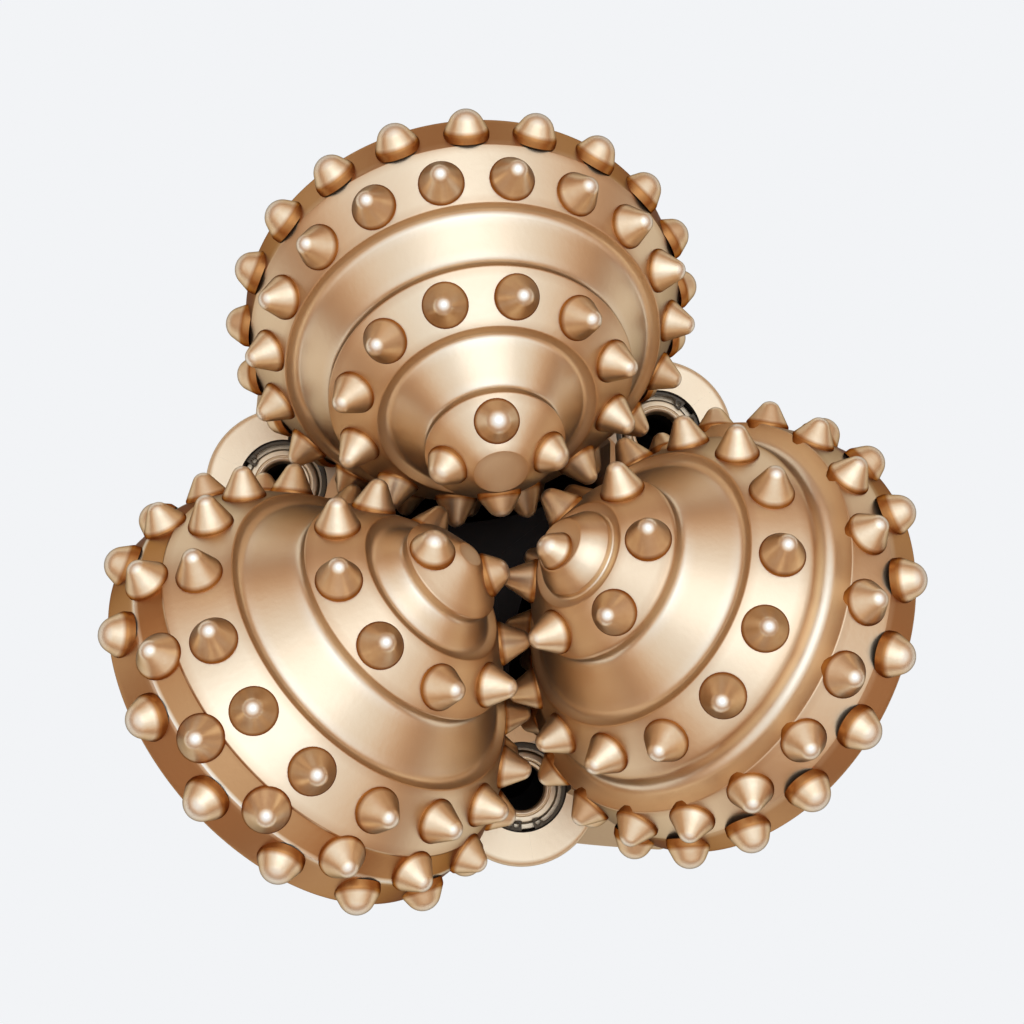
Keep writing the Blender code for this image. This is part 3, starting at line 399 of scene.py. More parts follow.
# skin: corners from nose to gage, (along, height, fillet) in mm from the mesh line.
# rows: insert kind, place along the mesh line, count, first angle, and the two edges of the land they stand on.
# gage: count and first angle. centre: offset and angle of the nose's own insert
coneLooks = [
    dict(skin=[(17.5, -6.9, 0.4), (32.7, -5.3, 0.6), (34.4, -8.3, 1.8), (48.2, -9.6, 1.8), (49.9, -6.6, 0.6),
               (65.4, -4.6, 0.6), (67.1, -7.6, 2.4), (80.4, -9.2, 2.4), (82.1, -6.2, 0.5), (97.9, -9.6, 0.5)],
         rows=[("nose", 25.4, 4, 90.6, (17.5, -6.9), (32.7, -5.3)),
               ("cutting", 57.6, 12, 75.6, (49.9, -6.6), (65.4, -4.6)),
               ("tallHeel", 88.6, 19, 84.3, (82.1, -6.2), (97.9, -9.6))],
         gage=(21, 92.9)),
    dict(skin=[(14.0, -8.6, 0.9), (27.3, -5.6, 0.6), (29.0, -8.5, 1.8), (36.6, -8.3, 1.8), (38.2, -5.4, 0.6),
               (53.6, -4.3, 0.6), (55.3, -7.2, 2.4), (70.5, -7.3, 2.4), (72.2, -4.4, 0.5), (90.1, -5.9, 0.4),
               (90.6, -6.5, 0.2), (97.9, -8.9, 0.4)],
         rows=[("nose", 21.1, 2, 131.8, (14.0, -8.6), (27.3, -5.6)),
               ("cutting", 46.4, 9, 160.2, (38.2, -5.4), (53.6, -4.3)),
               ("cutting", 80.6, 16, 113.8, (72.2, -4.4), (90.1, -5.9)),
               ("heel", 94.4, 16, 161.2, (90.6, -6.3), (97.9, -8.9))],
         gage=(16, 150.0),
         # its heel land is browner with painted shade, with a painted highlight along its outer edge: from out,
         # to out, tone
         bands=[(fromMeshLine(90.6, -6.5).y - 0.2, fromMeshLine(97.9, -8.9).y - 0.4, 0.05),
                (fromMeshLine(97.9, -8.9).y - 0.4, fromMeshLine(97.9, -8.9).y + 0.4, 1.0)]),
    dict(skin=[(17.7, -6.8, 0.9), (25.0, -7.8, 0.6), (26.4, -9.0, 0.6), (28.0, -6.4, 0.6), (42.0, -4.6, 1.6),
               (44.4, -8.0, 2.4), (59.8, -7.6, 2.4), (61.5, -4.6, 0.6), (77.6, -5.6, 3.0), (82.2, -9.6, 2.8),
               (87.4, -4.9, 0.5), (98.6, -10.9, 0.5)],
         rows=[("cutting", 35.2, 6, 66.2, (28.0, -6.4), (42.8, -4.6)),
               ("cutting", 69.6, 14, 16.7, (61.5, -4.6), (78.0, -5.6)),
               ("heel", 92.2, 19, 1.6, (87.4, -4.9), (98.6, -10.9))],
         gage=(19, 30.1), centre=(2.0, 175.0)),
]
coneBack = dict(gageCorner=(62.54, 87.5), backFace=(58.79, 89.6), gageRow=81.9, gageLean=17.0,
                steps=288, innerSteps=96)
# the bearing bores, from the button seat out to the seal gland: (radius, out)
coneBore = dict(button=(9.3, 29.8), pilot=(13.1, 31.4), flange=(21.0, 40.7), race=(21.6, 51.5, 8.4),
                journal=(26.5, 60.7), bushing=29.4, gland=(35.4, 83.3))
# tones of the cone skin: a painted highlight on the lips, painted shade in the hollows and on the gage band
coneTones = dict(lip=0.66, shadedHollow=0.28, shadedGageBand=0.10)
insertLooks = dict(
    cutting=dict(radius=6.1, height=8.5, tip=3.0, collar=0.4, shoulder=0.8),
    heel=dict(radius=6.1, height=7.0, tip=3.1, collar=0.4, shoulder=0.9),
    tallHeel=dict(radius=6.1, height=8.0, tip=3.0, collar=0.4, shoulder=0.9),
    nose=dict(radius=6.0, height=6.0, tip=4.1, collar=0.3, shoulder=1.2),
    gage=dict(radius=6.1, height=5.4, tip=4.9, collar=0.3, shoulder=1.6),
    centre=dict(radius=5.3, height=6.0, tip=3.9, collar=0.3, shoulder=1.2),
)
# insert tones: a painted highlight on the tip, nearly the plain colour on the flank and a painted shade ring at
# the foot
insertTones = dict(tip=0.90, flank=0.48, foot=0.0)


def insertRun(look, height=None):
    # (radius, height) of an insert from its tip down, with its tones, a painted highlight at the tip and
    # painted shade at the foot:
    # a ball tip, a straight flank, a soft shoulder and a collar
    height = height or look["height"]
    tip, base, foot = look["tip"], look["radius"], look["collar"]
    centre = height - tip
    span = math.hypot(base, centre - foot)
    lean = math.acos(min(1.0, tip / span)) - math.atan2(centre - foot, base)
    steps = 10
    run = [Vector((tip * math.sin(a), centre + tip * math.cos(a)))
           for a in [k / steps * (math.pi / 2 - lean) for k in range(steps + 1)]]
    flank = spaced(rounded([tuple(run[-1]), (base, foot, look["shoulder"]), (base, -1.6)]), 1.2)[1:]
    fade = insertTones["flank"] - insertTones["tip"]
    tones = [insertTones["tip"] + fade * (k / steps) ** 1.5 for k in range(steps + 1)]
    tones += [insertTones["foot"] if p[1] < foot + 0.5 else insertTones["flank"] for p in flank]
    return run + flank, tones


def conePoint(index, base, direction, angle):
    # where an insert stands: local Z along its own axis. base and direction are (out, radius)
    turn = Matrix.Rotation(math.radians(angle + 90.0), 4, "Z")
    lean = math.atan2(direction.y, direction.x)
    stand = Matrix.Translation((base.y * mm, 0, base.x * mm)) @ Matrix.Rotation(lean, 4, "Y")
    return journalPlace(index) @ turn @ stand


def skinTones(run, gageOut):
    # painted highlight on the lips, painted shade in the corners of the grooves and past the gage edge
    tones = []
    for k, point in enumerate(run):
        before, after = run[max(k - 2, 0)], run[min(k + 2, len(run) - 1)]
        a, b = Vector(point) - Vector(before), Vector(after) - Vector(point)
        bend = a.angle_signed(b, 0.0) if a.length > 1e-6 and b.length > 1e-6 else 0.0
        tone = 0.5
        if bend > 0.12:
            tone = coneTones["lip"]
        if bend < -0.12:
            tone = coneTones["shadedHollow"]
        if point[1] > gageOut:
            tone = coneTones["shadedGageBand"]
        tones.append(tone)
    soft = []
    for k in range(len(tones)):
        near = tones[max(0, k - 1):k + 2]
        soft.append(sum(near) / len(near))
    return soft


def ridePieces(pieces, body, nodes):
    for piece in pieces:
        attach(piece, body)
        if nodes:
            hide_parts(*nodes)


def boreRun():
    # (radius, out) of the cone's bearing bores, from the gland in to the button seat
    bore = coneBore
    pitch, raceOut, raceRadius = bore["race"]
    start = math.acos((bore["journal"][0] - pitch) / raceRadius)
    end = math.acos((bore["flange"][0] - pitch) / raceRadius)
    race = arc((pitch, raceOut), raceRadius, start, -(start + end), 14)
    gland = [(bore["gland"][0], coneBack["backFace"][1]), bore["gland"],
             (bore["bushing"], bore["gland"][1]), (bore["bushing"], bore["journal"][1])]
    pilot = [(bore["pilot"][0], bore["flange"][1]), bore["pilot"], (bore["button"][0], bore["pilot"][1]),
             bore["button"], (0.0, bore["button"][1])]
    return gland + [bore["journal"]] + race + [bore["flange"]] + pilot


def makeCone(index, look):
    # the shell with its bore, the rows of inserts, the gage row and, on one cone, an insert in the nose
    skin = [(*fromMeshLine(s, h), r) for s, h, r in look["skin"]]
    noseOut = skin[0][1]
    corner, back = coneBack["gageCorner"], coneBack["backFace"]
    corners = [(0.0, noseOut)] + skin + [(*corner, 0.8), (*back, 0.6), (coneBore["gland"][0], back[1])]
    run = spaced(rounded(corners), 1.2)
    tones = skinTones(run, skin[-1][1] + 0.3)
    for low, high, tone in look.get("bands", []):
        tones = [tone if low < p[1] < high else t for p, t in zip(run, tones)]
    name, node, seat = f"cone{index + 1}", f"cone_{index + 1}", journalPlace(index)
    pieces = [turned(f"{name}Shell", run, coneBack["steps"], conePaint, place=seat, sharp=40, tones=tones),
              turned(f"{name}Bore", boreRun(), coneBack["innerSteps"], brightSteel, place=seat)]

    def row(label, kind, base, direction, count, first, height=None):
        places = [conePoint(index, base, direction, first + 360.0 * k / count) for k in range(count)]
        form, shades = insertRun(insertLooks[kind], height)
        pieces.append(copiesOf(f"{name}{label}", form, 36, places, insertPaint, tones=shades))

    for number, (kind, along, count, first, inner, outer) in enumerate(look["rows"]):
        share = (along - inner[0]) / (outer[0] - inner[0])
        radius, out = fromMeshLine(along, inner[1] + share * (outer[1] - inner[1]))
        a, b = fromMeshLine(*inner), fromMeshLine(*outer)
        side = Vector((b.y - a.y, b.x - a.x)).normalized()
        row(f"Inserts{number + 1}", kind, Vector((out, radius)), Vector((-side.y, side.x)), count, first)
    # the gage row stands out to the hole's wall
    edge = fromMeshLine(*look["skin"][-1][:2])
    share = (coneBack["gageRow"] - edge.y) / (corner[1] - edge.y)
    base = Vector((coneBack["gageRow"], edge.x + share * (corner[0] - edge.x)))
    lean = math.radians(coneBack["gageLean"])
    direction = Vector((math.sin(lean), math.cos(lean)))
    reach = base.dot(direction)
    height = math.sqrt(reach ** 2 + layout["gageRadius"] ** 2 - base.length_squared) - reach - 0.02
    row("GageInserts", "gage", base, direction, *look["gage"], height)
    if "centre" in look:
        offset, angle = look["centre"]
        row("NoseInsert", "centre", Vector((noseOut, offset)), Vector((-1.0, 0.0)), 1, angle)
    ridePieces(pieces, node, [node])
    print(name, "gage inserts stand", round(height, 2), "mm")


for coneNumber, coneLook in enumerate(coneLooks):
    makeCone(coneNumber, coneLook)
print("cones made")


# lengths in mm. The runs are (radius, z, fillet) about the bit axis
legLook = dict(
    body=[(0.0, 118.0), (44.0, 118.0, 3.0), (62.0, 106.0, 4.0), (84.0, 58.0, 3.0), (84.0, 34.0, 3.0),
          (80.0, 22.0, 3.0), (80.0, 12.3, 0.8), (67.7, 0.0, 0.6), (57.0, 0.0), (57.0, -9.0, 0.5), (54.4, -12.0),
          (42.6, -104.9), (41.0, -107.95, 0.5), (0.0, -107.95)],
    envelope=[(0.0, 206.0), (105.0, 206.0), (105.0, 84.0, 5.0), (80.0, 26.0, 3.0), (0.0, 26.0)],
    course=[(0.0, 54.0), (25.0, 54.0), (34.0, 45.0, 3.0), (34.0, 15.0, 3.0), (24.0, 6.0, 2.0), (24.0, -104.95),
            (26.0, -107.95), (26.0, -220.0), (0.0, -220.0)],
    outerRadius=105.0, armCentre=134.0, armHalfWidth=54.0, armInner=46.0, skirtHalfWidth=58.0,
    skirtLow=96.0, footHalfWidth=78.0, footLow=26.0, bodySteps=180, bevel=1.3, seamGap=0.01)
nozzleLook = dict(ringRadius=69.0, face=110.0, bossRadius=24.0, bossEdge=2.2, bossFoot=12.0, bossLow=62.0,
                  footLow=34.0, wall=13.3, seat=81.5, ringLow=106.8, ringRoom=2.6, groove=15.6, passage=10.5,
                  passageFoot=(22.0, 28.0), exit=7.1, entry=10.0, length=25.0, sealRadius=15.0, sealWire=1.55)
sweepLook = dict(back=90.2, corner=65.94, along=(101.0, 2.2), gageClear=2.2)
# the journal: (radius, out) from its root to the ball race, and from the race to the pilot pin's end
journalLook = dict(root=[(0.0, 95.6), (30.0, 95.6), (30.0, 83.6, 0.6), (26.0, 83.6, 0.5)],
                   pilot=[(20.5, 41.0, 0.6), (12.6, 41.0, 0.4), (12.6, 34.0), (11.6, 33.0), (0.0, 33.0)])
# heights in the reservoir are along its own axis, from the face of the leg
reservoirLook = dict(
    face=(80.0 + 25.0 * (52.0 - 26.0) / (84.0 - 26.0) - 2.7, 52.0), tilt=18.0,
    pocket=[(0.0, 30.0), (20.0, 30.0), (20.0, 0.0, 1.0), (17.6, 0.0), (17.0, -0.6), (17.0, -1.0), (18.6, -1.0),
            (18.6, -3.1), (17.0, -3.1), (17.0, -10.7), (14.0, -10.7), (14.0, -30.0), (0.0, -30.0)],
    cap=[(0.0, -5.6), (2.0, -5.6), (2.6, -5.4, 0.4), (8.0, -5.4, 1.0), (10.4, -3.4, 0.8), (13.4, -3.4, 0.5),
         (14.0, -4.2, 0.4), (15.6, -4.2, 0.4), (16.0, -3.6, 0.3), (16.7, -3.6, 0.4), (16.7, -8.4, 0.4),
         (0.0, -8.4)],
    vent=[(0.0, -9.0), (1.2, -9.0), (1.2, -4.0), (0.0, -4.0)],
    pryHole=[(0.0, -6.4), (1.1, -6.0), (1.1, -2.0), (0.0, -2.0)], pryCircle=11.9, pryHoles=3,
    cup=[(0.0, -20.7), (10.4, -20.7, 2.4), (12.1, -17.5, 1.0), (12.1, -8.6, 0.4), (16.7, -8.6, 0.4),
         (16.7, -10.4, 0.4), (13.7, -10.4, 0.4), (13.7, -19.0, 2.0), (10.6, -22.3, 2.0), (0.0, -22.3)])
# the hole through which the balls go in, and the plug that closes it
plugLook = dict(out=51.5, drop=18.5, lean=19.0, holeRadius=8.3, weldRadius=9.3, radius=8.0, waist=5.0, sunk=3.0)


def revolve(corners, steps=96, material=None, place=None):
    return turned("cutter", rounded(corners), steps, material, place=place)


def slabOf(outline, low, high, material=None, place=None):
    # a flat outline in XY with a thickness in Z, all in mm
    shape = bmesh.new()
    rings = [[shape.verts.new((x * mm, y * mm, z * mm)) for x, y in outline] for z in (low, high)]
    shape.faces.new(rings[0][::-1])
    shape.faces.new(rings[1])
    for k in range(len(outline)):
        j = (k + 1) % len(outline)
        shape.faces.new((rings[0][k], rings[0][j], rings[1][j], rings[1][k]))
    return newObject("slab", shape, material, 32, place)


def aimed(start, end):
    # local Z from start to end, both in mm
    start, end = Vector(start) * mm, Vector(end) * mm
    return Matrix.Translation(start) @ (end - start).to_track_quat("Z", "Y").to_matrix().to_4x4()


def fromJournal(out, drop):
    # a point in the leg's own plane, in mm
    return Vector((out * math.cos(tilt) - drop * math.sin(tilt), 0.0,
                   layout["apex"] - out * math.sin(tilt) - drop * math.cos(tilt)))


def seamPlace(side):
    angle = math.radians(60.0 * side)
    return Matrix.Rotation(angle, 4, "Z") @ Matrix.Translation((nozzleLook["ringRadius"] * mm, 0, 0))


ballHoleStart = fromJournal(plugLook["out"], plugLook["drop"])
ballHoleRun = fromJournal(plugLook["out"] + 1.0, plugLook["drop"] - math.tan(math.radians(plugLook["lean"])))
ballHoleRun = (ballHoleRun - ballHoleStart).normalized()
ballHoleEnd = ballHoleStart + ballHoleRun * ((legLook["outerRadius"] - ballHoleStart.x) / ballHoleRun.x)
reservoirTilt = math.radians(reservoirLook["tilt"])
reservoirFace = Vector((reservoirLook["face"][0], 0.0, reservoirLook["face"][1]))
reservoirOut = Vector((math.cos(reservoirTilt), 0.0, -math.sin(reservoirTilt)))


def armSolid():
    # the arm's round-topped face and spreading skirt, cut to the body's own outline
    look = legLook
    dome = arc((0.0, look["armCentre"]), look["armHalfWidth"], 0.0, math.pi, 40)
    foot, skirt = (look["footHalfWidth"], look["footLow"]), (look["skirtHalfWidth"], look["skirtLow"], 9.0)
    outline = [foot, skirt] + dome + [(-skirt[0], *skirt[1:]), (-foot[0], foot[1])]
    stand = Matrix.Rotation(math.radians(90), 4, "Z") @ Matrix.Rotation(math.radians(90), 4, "X")
    arm = slabOf(rounded(outline), look["armInner"], 2 * layout["gageRadius"], legPaint, stand)
    envelope = revolve(look["envelope"], look["bodySteps"], legPaint)
    boolean(arm, envelope, "INTERSECT")
    applied(arm)
    drop(envelope)
    return arm


def journalSolid(place):
    pitch, raceOut, raceRadius = coneBore["race"]
    start = math.acos((journalLook["root"][-1][0] - pitch) / raceRadius)
    end = math.acos((journalLook["pilot"][0][0] - pitch) / raceRadius)
    race = arc((pitch, raceOut), raceRadius, start, math.tau - end - start, 24)
    return revolve(journalLook["root"] + race + journalLook["pilot"], 96, brightSteel, place)


def legSolid():
    # one leg at angle zero, shaped by the same steps as the real one is machined
    look, nozzle = legLook, nozzleLook
    leg = revolve(look["body"], look["bodySteps"], legPaint)
    used = []

    def joined(piece):
        used.append(piece)
        boolean(leg, piece, "UNION")

    def cut(piece, operation="DIFFERENCE"):
        used.append(piece)
        boolean(leg, piece, operation)

    joined(armSolid())
    boss = [(0.0, nozzle["face"]), (nozzle["bossRadius"], nozzle["face"], nozzle["bossEdge"]),
            (nozzle["bossRadius"], nozzle["bossLow"], 3.0), (nozzle["bossFoot"], nozzle["footLow"]),
            (0.0, nozzle["footLow"])]
    for side in (-1, 1):
        joined(revolve(boss, 96, legPaint, seamPlace(side)))
    applied(leg)
    bevel = leg.modifiers.new("edges", "BEVEL")
    bevel.width = look["bevel"] * mm
    bevel.segments = 3
    bevel.limit_method = "ANGLE"
    bevel.angle_limit = math.radians(38)
    bevel.use_clamp_overlap = True
    applied(leg)
    # a third of the body lies between its two seams
    half = math.radians(60.0)
    tip, far = 0.5 * look["seamGap"] / math.sin(half), 300.0
    wedge = [(tip, 0.0), (tip + 0.5 * far, -far * math.sin(half)), (tip + 0.5 * far, far * math.sin(half))]
    cut(slabOf(wedge, -200.0, 300.0, innerSteel), "INTERSECT")
    # the cone sweeps this room out of the leg
    corner = fromMeshLine(*sweepLook["along"])
    rim = math.sqrt((layout["gageRadius"] + sweepLook["gageClear"]) ** 2 - corner.x ** 2)
    journalTurn = Matrix.Translation(apex) @ Matrix.Rotation(math.radians(90) + tilt, 4, "Y")
    cut(revolve([(0.0, sweepLook["back"]), (sweepLook["corner"], sweepLook["back"]), (corner.x, rim),
                 tuple(corner), (0.0, 0.0)], 144, legPaint, journalTurn))
    joined(journalSolid(journalTurn))
    # this cut and the passages and pockets below leave near black faces, bare steel with painted shade
    cut(revolve(look["course"], 120, innerSteel))
    wall, groove, ringLow = nozzle["wall"], nozzle["groove"], nozzle["ringLow"]
    ringHigh, passage, seat = ringLow + nozzle["ringRoom"], nozzle["passage"], nozzle["seat"]
    pocket = [(0.0, 140.0), (wall + 0.4, 140.0), (wall + 0.4, nozzle["face"]), (wall, nozzle["face"] - 0.4),
              (wall, ringHigh), (groove, ringHigh), (groove, ringLow), (wall, ringLow), (wall, seat),
              (passage, seat), (passage, seat - 21.0), (0.0, seat - 21.0)]
    for side in (-1, 1):
        place = seamPlace(side)
        footOut, footHigh = nozzle["passageFoot"]
        foot = Matrix.Rotation(math.radians(60.0 * side), 3, "Z") @ Vector((footOut, 0.0, footHigh))
        elbow = place.to_translation() / mm + Vector((0, 0, seat - passage))
        length = (elbow - foot).length
        cut(revolve([(0.0, length), (passage, length), (passage, 0.0), (0.0, 0.0)], 64, innerSteel,
                    aimed(foot, elbow)))
        cut(revolve(pocket, 96, innerSteel, place))
    cut(revolve(reservoirLook["pocket"], 96, legPaint, aimed(reservoirFace, reservoirFace + reservoirOut)))
    length = (ballHoleEnd - ballHoleStart).length
    hole, mouth = plugLook["holeRadius"], plugLook["weldRadius"]
    cut(revolve([(0.0, length + 8.0), (mouth, length + 8.0), (mouth, length - 0.2), (hole, length - 1.2),
                 (hole, 0.0), (0.0, 0.0)], 64, legPaint, aimed(ballHoleStart, ballHoleEnd)))
    applied(leg, 30)
    drop(*used)
    return leg


pattern = legSolid()
print("leg shaped,", len(pattern.data.polygons), "faces")
for number in range(3):
    leg = bpy.data.objects.new(f"leg{number + 1}Forging", pattern.data.copy())
    leg.data.transform(Matrix.Rotation(legAngle(number), 4, "Z"))
    bpy.context.scene.collection.objects.link(leg)
    flattened(leg)
    ridePieces([leg], "bit_body", [f"leg_{number + 1}"])
drop(pattern)


threadLook = dict(pitch=5.08, depth=2.95, taper=0.125, large=58.74, low=-107.95, high=-12.0, samples=12,
                  steps=180, endChamfer=3.6, runOut=5.0, crestMiddle=0.62, crestSwing=0.8)


def pinThread():
    # a tapered pin thread with round roots and narrow crests, as one sleeve over the pin
    look = threadLook
    pitch, samples, steps = look["pitch"], look["samples"], look["steps"]
    low, high = look["low"], look["high"]
    shape = bmesh.new()
    rows = []
    for i in range((int((high - low) / pitch) + 3) * samples + 1):
        swing = look["crestMiddle"] + look["crestSwing"] * math.cos(math.tau * i / samples)
        crest = min(1.0, max(0.0, swing))
        ring = []
        for j in range(steps):
            turn = math.tau * j / steps
            height = low + pitch * (i / samples - 1 + j / steps)
            height = max(low, min(high, height))
            outer = look["large"] + look["taper"] * height
            root = outer - look["depth"]
            ease = min(1.0, max(0.0, (high - height) / look["runOut"]))
            radius = root + (outer - root) * (1 - (1 - crest) * ease)
            radius = min(radius, root + (height - low) + look["depth"] - look["endChamfer"])
            spot = Vector((radius * math.cos(turn), radius * math.sin(turn), height))
            ring.append(shape.verts.new(spot * mm))
        rows.append(ring)
    for i in range(len(rows) - 1):
        for j in range(steps - 1):
            shape.faces.new((rows[i][j], rows[i][j + 1], rows[i + 1][j + 1], rows[i + 1][j]))
        if i >= samples:
            shape.faces.new((rows[i - samples][-1], rows[i][0], rows[i + 1][0], rows[i - samples + 1][-1]))
    bmesh.ops.remove_doubles(shape, verts=shape.verts, dist=0.00001)
    return newObject("pinThread", shape, threadSteel, 50)


weldLook = dict(path=[(78.0, 10.0), (80.3, 13.5), (80.3, 21.5), (84.2, 34.0), (84.2, 41.0), (92.6, 60.0),
                      (93.1, 68.0)],
                halfWidth=4.2, height=1.9, ripple=2.1, across=10, gap=0.42)


def seamWeld(number):
    # a rippled bead up the seam between two legs
    look = weldLook
    angle = legAngle(number) + math.radians(60.0)
    points = spaced([Vector(p) for p in look["path"]], look["gap"])
    shape = bmesh.new()
    rings = []
    run = 0.0
    dice = random.Random(40 + number)
    wander = [dice.uniform(-0.3, 0.3) for k in range(80)]
    for k, point in enumerate(points):
        run += (point - points[k - 1]).length if k else 0.0
        along = (points[min(k + 1, len(points) - 1)] - points[max(k - 1, 0)]).normalized()
        out = Vector((along.y, -along.x))
        ends = min(1.0, (k + 1) / 8, (len(points) - k) / 8)
        ring = []
        for a in range(look["across"] + 1):
            side = 2.0 * a / look["across"] - 1.0
            phase = (run + 1.6 * side * side) / look["ripple"]
            scale = 0.78 + 0.22 * abs(math.sin(math.pi * phase))
            height = look["height"] * math.sqrt(max(0.0, 1 - side * side)) * scale * ends - 0.5
            width = (look["halfWidth"] + wander[int(phase) % 80]) * (0.6 + 0.4 * ends)
            spot = point + out * height
            ring.append(shape.verts.new(Vector((spot.x * mm, side * width * mm, spot.y * mm))))
        rings.append(ring)
    for a, b in zip(rings, rings[1:]):
        for k in range(look["across"]):
            shape.faces.new((a[k], a[k + 1], b[k + 1], b[k]))
        shape.faces.new((a[0], b[0], b[-1], a[-1]))
    shape.faces.new(rings[0])
    shape.faces.new(rings[-1][::-1])
    return newObject(f"seamWeld{number + 1}", shape, weldPaint, 60, Matrix.Rotation(angle, 4, "Z"))


def nozzleParts(number):
    # the carbide nozzle with its rounded lip, its bore, its retaining ring and its seal
    look = nozzleLook
    place = Matrix.Rotation(legAngle(number), 4, "Z") @ seamPlace(1)
    top = look["ringLow"] - 0.3
    low = top - look["length"] + 0.3
    throat, entry = look["exit"], look["entry"]
    lip = [(throat, top - 3.0), (throat, top + 1.7, 0.7), (8.2, top + 2.2, 0.8), (8.6, top + 1.5, 0.3),
           (9.0, top + 2.0, 0.5), (10.7, top + 1.7, 0.8), (11.2, top, 0.3), (13.0, top, 0.4), (13.0, low, 0.5),
           (entry + 0.4, low)]
    body = turned(f"nozzle{number + 1}Body", spaced(rounded(lip), 1.5), 96, legPaint, place=place)
    # the bore is near black, partly bare carbide and partly painted shade
    bore = [(entry + 0.4, low), (entry, low + 0.6), (8.6, low + 8.0, 8.0), (throat, top - 10.0, 6.0),
            (throat, top - 2.9)]
    bore = turned(f"nozzle{number + 1}Bore", spaced(rounded(bore), 1.5), 96, innerSteel, place=place)
    ridePieces([body, bore], "bit_body", [f"nozzle_{number + 1}"])
    ring = snapRing(f"nozzle{number + 1}RetainingRing", nozzleRingLook, top + 0.6, ringSteel, place)
    ridePieces([ring], "bit_body", [f"nozzle_retaining_ring_{number + 1}"])
    wire = arc((look["sealRadius"], look["ringLow"] - 12.0), look["sealWire"], 0.0, math.tau, 16)[:-1]
    seal = turned(f"nozzle{number + 1}Seal", wire, 72, sealRubber, closed=True, place=place)
    ridePieces([seal], "bit_body", [f"nozzle_seal_{number + 1}"])


nozzleRingLook = dict(inner=11.9, outer=15.2, thickness=2.0, lug=2.3, gap=0.16)
reservoirRingLook = dict(inner=15.3, outer=18.3, thickness=1.6, lug=2.6, gap=0.14)
snapRingLook = dict(steps=96, lugSpan=0.26, offCentre=0.35, holeTurn=0.13, holeRadius=0.85, edge=0.25)


def snapRing(name, look, low, material, place):
    # an internal snap ring: a C with two drilled lugs at its ends
    steps, span = snapRingLook["steps"], snapRingLook["lugSpan"]
    gap, high = look["gap"], low + look["thickness"]
    shape = bmesh.new()
    outline, inside = [], []
    for k in range(steps + 1):
        a = gap + (math.tau - 2 * gap) * k / steps
        near = min(a - gap, math.tau - gap - a)
        grow = look["lug"] * max(0.0, 1 - (near / span) ** 4)
        wall = look["inner"] - grow + snapRingLook["offCentre"] * (1 + math.cos(a))
        outline.append((look["outer"] * math.cos(a), look["outer"] * math.sin(a)))
        inside.append((wall * math.cos(a), wall * math.sin(a)))
    rings = [[shape.verts.new((x * mm, y * mm, z * mm)) for x, y in side]
             for side, z in ((outline, low), (outline, high), (inside, high), (inside, low))]
    for a, b in zip(rings, rings[1:] + rings[:1]):
        for k in range(steps):
            shape.faces.new((a[k], a[k + 1], b[k + 1], b[k]))
    shape.faces.new([r[0] for r in rings])
    shape.faces.new([r[-1] for r in rings[::-1]])
    ring = newObject(name, shape, material, 32)
    hole, reach = snapRingLook["holeRadius"], (look["inner"] - 0.4 * look["lug"] + 0.6) * mm
    for side in (-1, 1):
        a = side * (gap + snapRingLook["holeTurn"])
        spot = Matrix.Translation((reach * math.cos(a), reach * math.sin(a), 0))
        drill = [(0.0, low - 1), (hole, low - 1), (hole, high + 1), (0.0, high + 1)]
        drill = revolve(drill, 24, material, spot)
        boolean(ring, drill)
        applied(ring)
        drop(drill)
    bevel = ring.modifiers.new("edges", "BEVEL")
    bevel.width = snapRingLook["edge"] * mm
    bevel.segments = 2
    bevel.angle_limit = math.radians(40)
    applied(ring, 40)
    ring.data.transform(place)
    return ring


def reservoirParts(number):
    # the cover cap with its dish, vent and pry holes, its snap ring and the rubber diaphragm under it
    look = reservoirLook
    place = Matrix.Rotation(legAngle(number), 4, "Z") @ aimed(reservoirFace, reservoirFace + reservoirOut)
    cap = turned(f"reservoir{number + 1}Cap", spaced(rounded(look["cap"]), 2.0), 96, legPaint, place=place)
    used = [revolve(look["vent"], 32, innerSteel, place)]
    for k in range(look["pryHoles"]):
        turn = Matrix.Rotation(math.tau * k / look["pryHoles"], 4, "Z")
        spot = turn @ Matrix.Translation((look["pryCircle"] * mm, 0, 0))
        used.append(revolve(look["pryHole"], 24, innerSteel, place @ spot))
    for tool in used:
        boolean(cap, tool)
    applied(cap, 32)
    drop(*used)
    ridePieces([cap], "bit_body", [f"reservoir_cap_{number + 1}"])
    ring = snapRing(f"reservoir{number + 1}SnapRing", reservoirRingLook, -2.9, brightSteel, place)
    ridePieces([ring], "bit_body", [f"reservoir_snap_ring_{number + 1}"])
    cup = spaced(rounded(look["cup"]), 2.0)
    cup = turned(f"reservoir{number + 1}Diaphragm", cup, 72, sealRubber, place=place)
    ridePieces([cup], "bit_body", [f"reservoir_diaphragm_{number + 1}"])


plugWeldLook = dict(inner=5.6, width=2.6, height=1.9, ripples=9, steps=144, across=8, rough=0.03)


def ballPlugParts(number):
    # the plug that keeps the balls in, and the ring of weld that closes its hole
    look = plugLook
    place = Matrix.Rotation(legAngle(number), 4, "Z") @ aimed(ballHoleStart, ballHoleEnd)
    length = (ballHoleEnd - ballHoleStart).length - look["sunk"]
    thick, thin = look["radius"], look["waist"]
    plug = [(0.0, length), (thick, length, 0.6), (thick, length - 8.0), (thin, length - 12.0, 2.0),
            (thin, 22.0, 2.0), (thick, 18.0), (thick, 1.6, 0.5), (0.0, 1.6)]
    plug = turned(f"ballPlug{number + 1}Body", spaced(rounded(plug), 2.0), 64, legPaint, place=place)
    # its inner end carries on the ball race
    pitch, raceOut, raceRadius = coneBore["race"]
    race = arc((pitch, raceOut), raceRadius, 0.0, math.tau, 32)[:-1]
    race = turned("raceCutter", race, 96, brightSteel, closed=True, place=journalPlace(number))
    boolean(plug, race)
    applied(plug, 32)
    drop(race)
    ridePieces([plug], "bit_body", [f"ball_plug_{number + 1}"])
    weldRing(number, length, place)


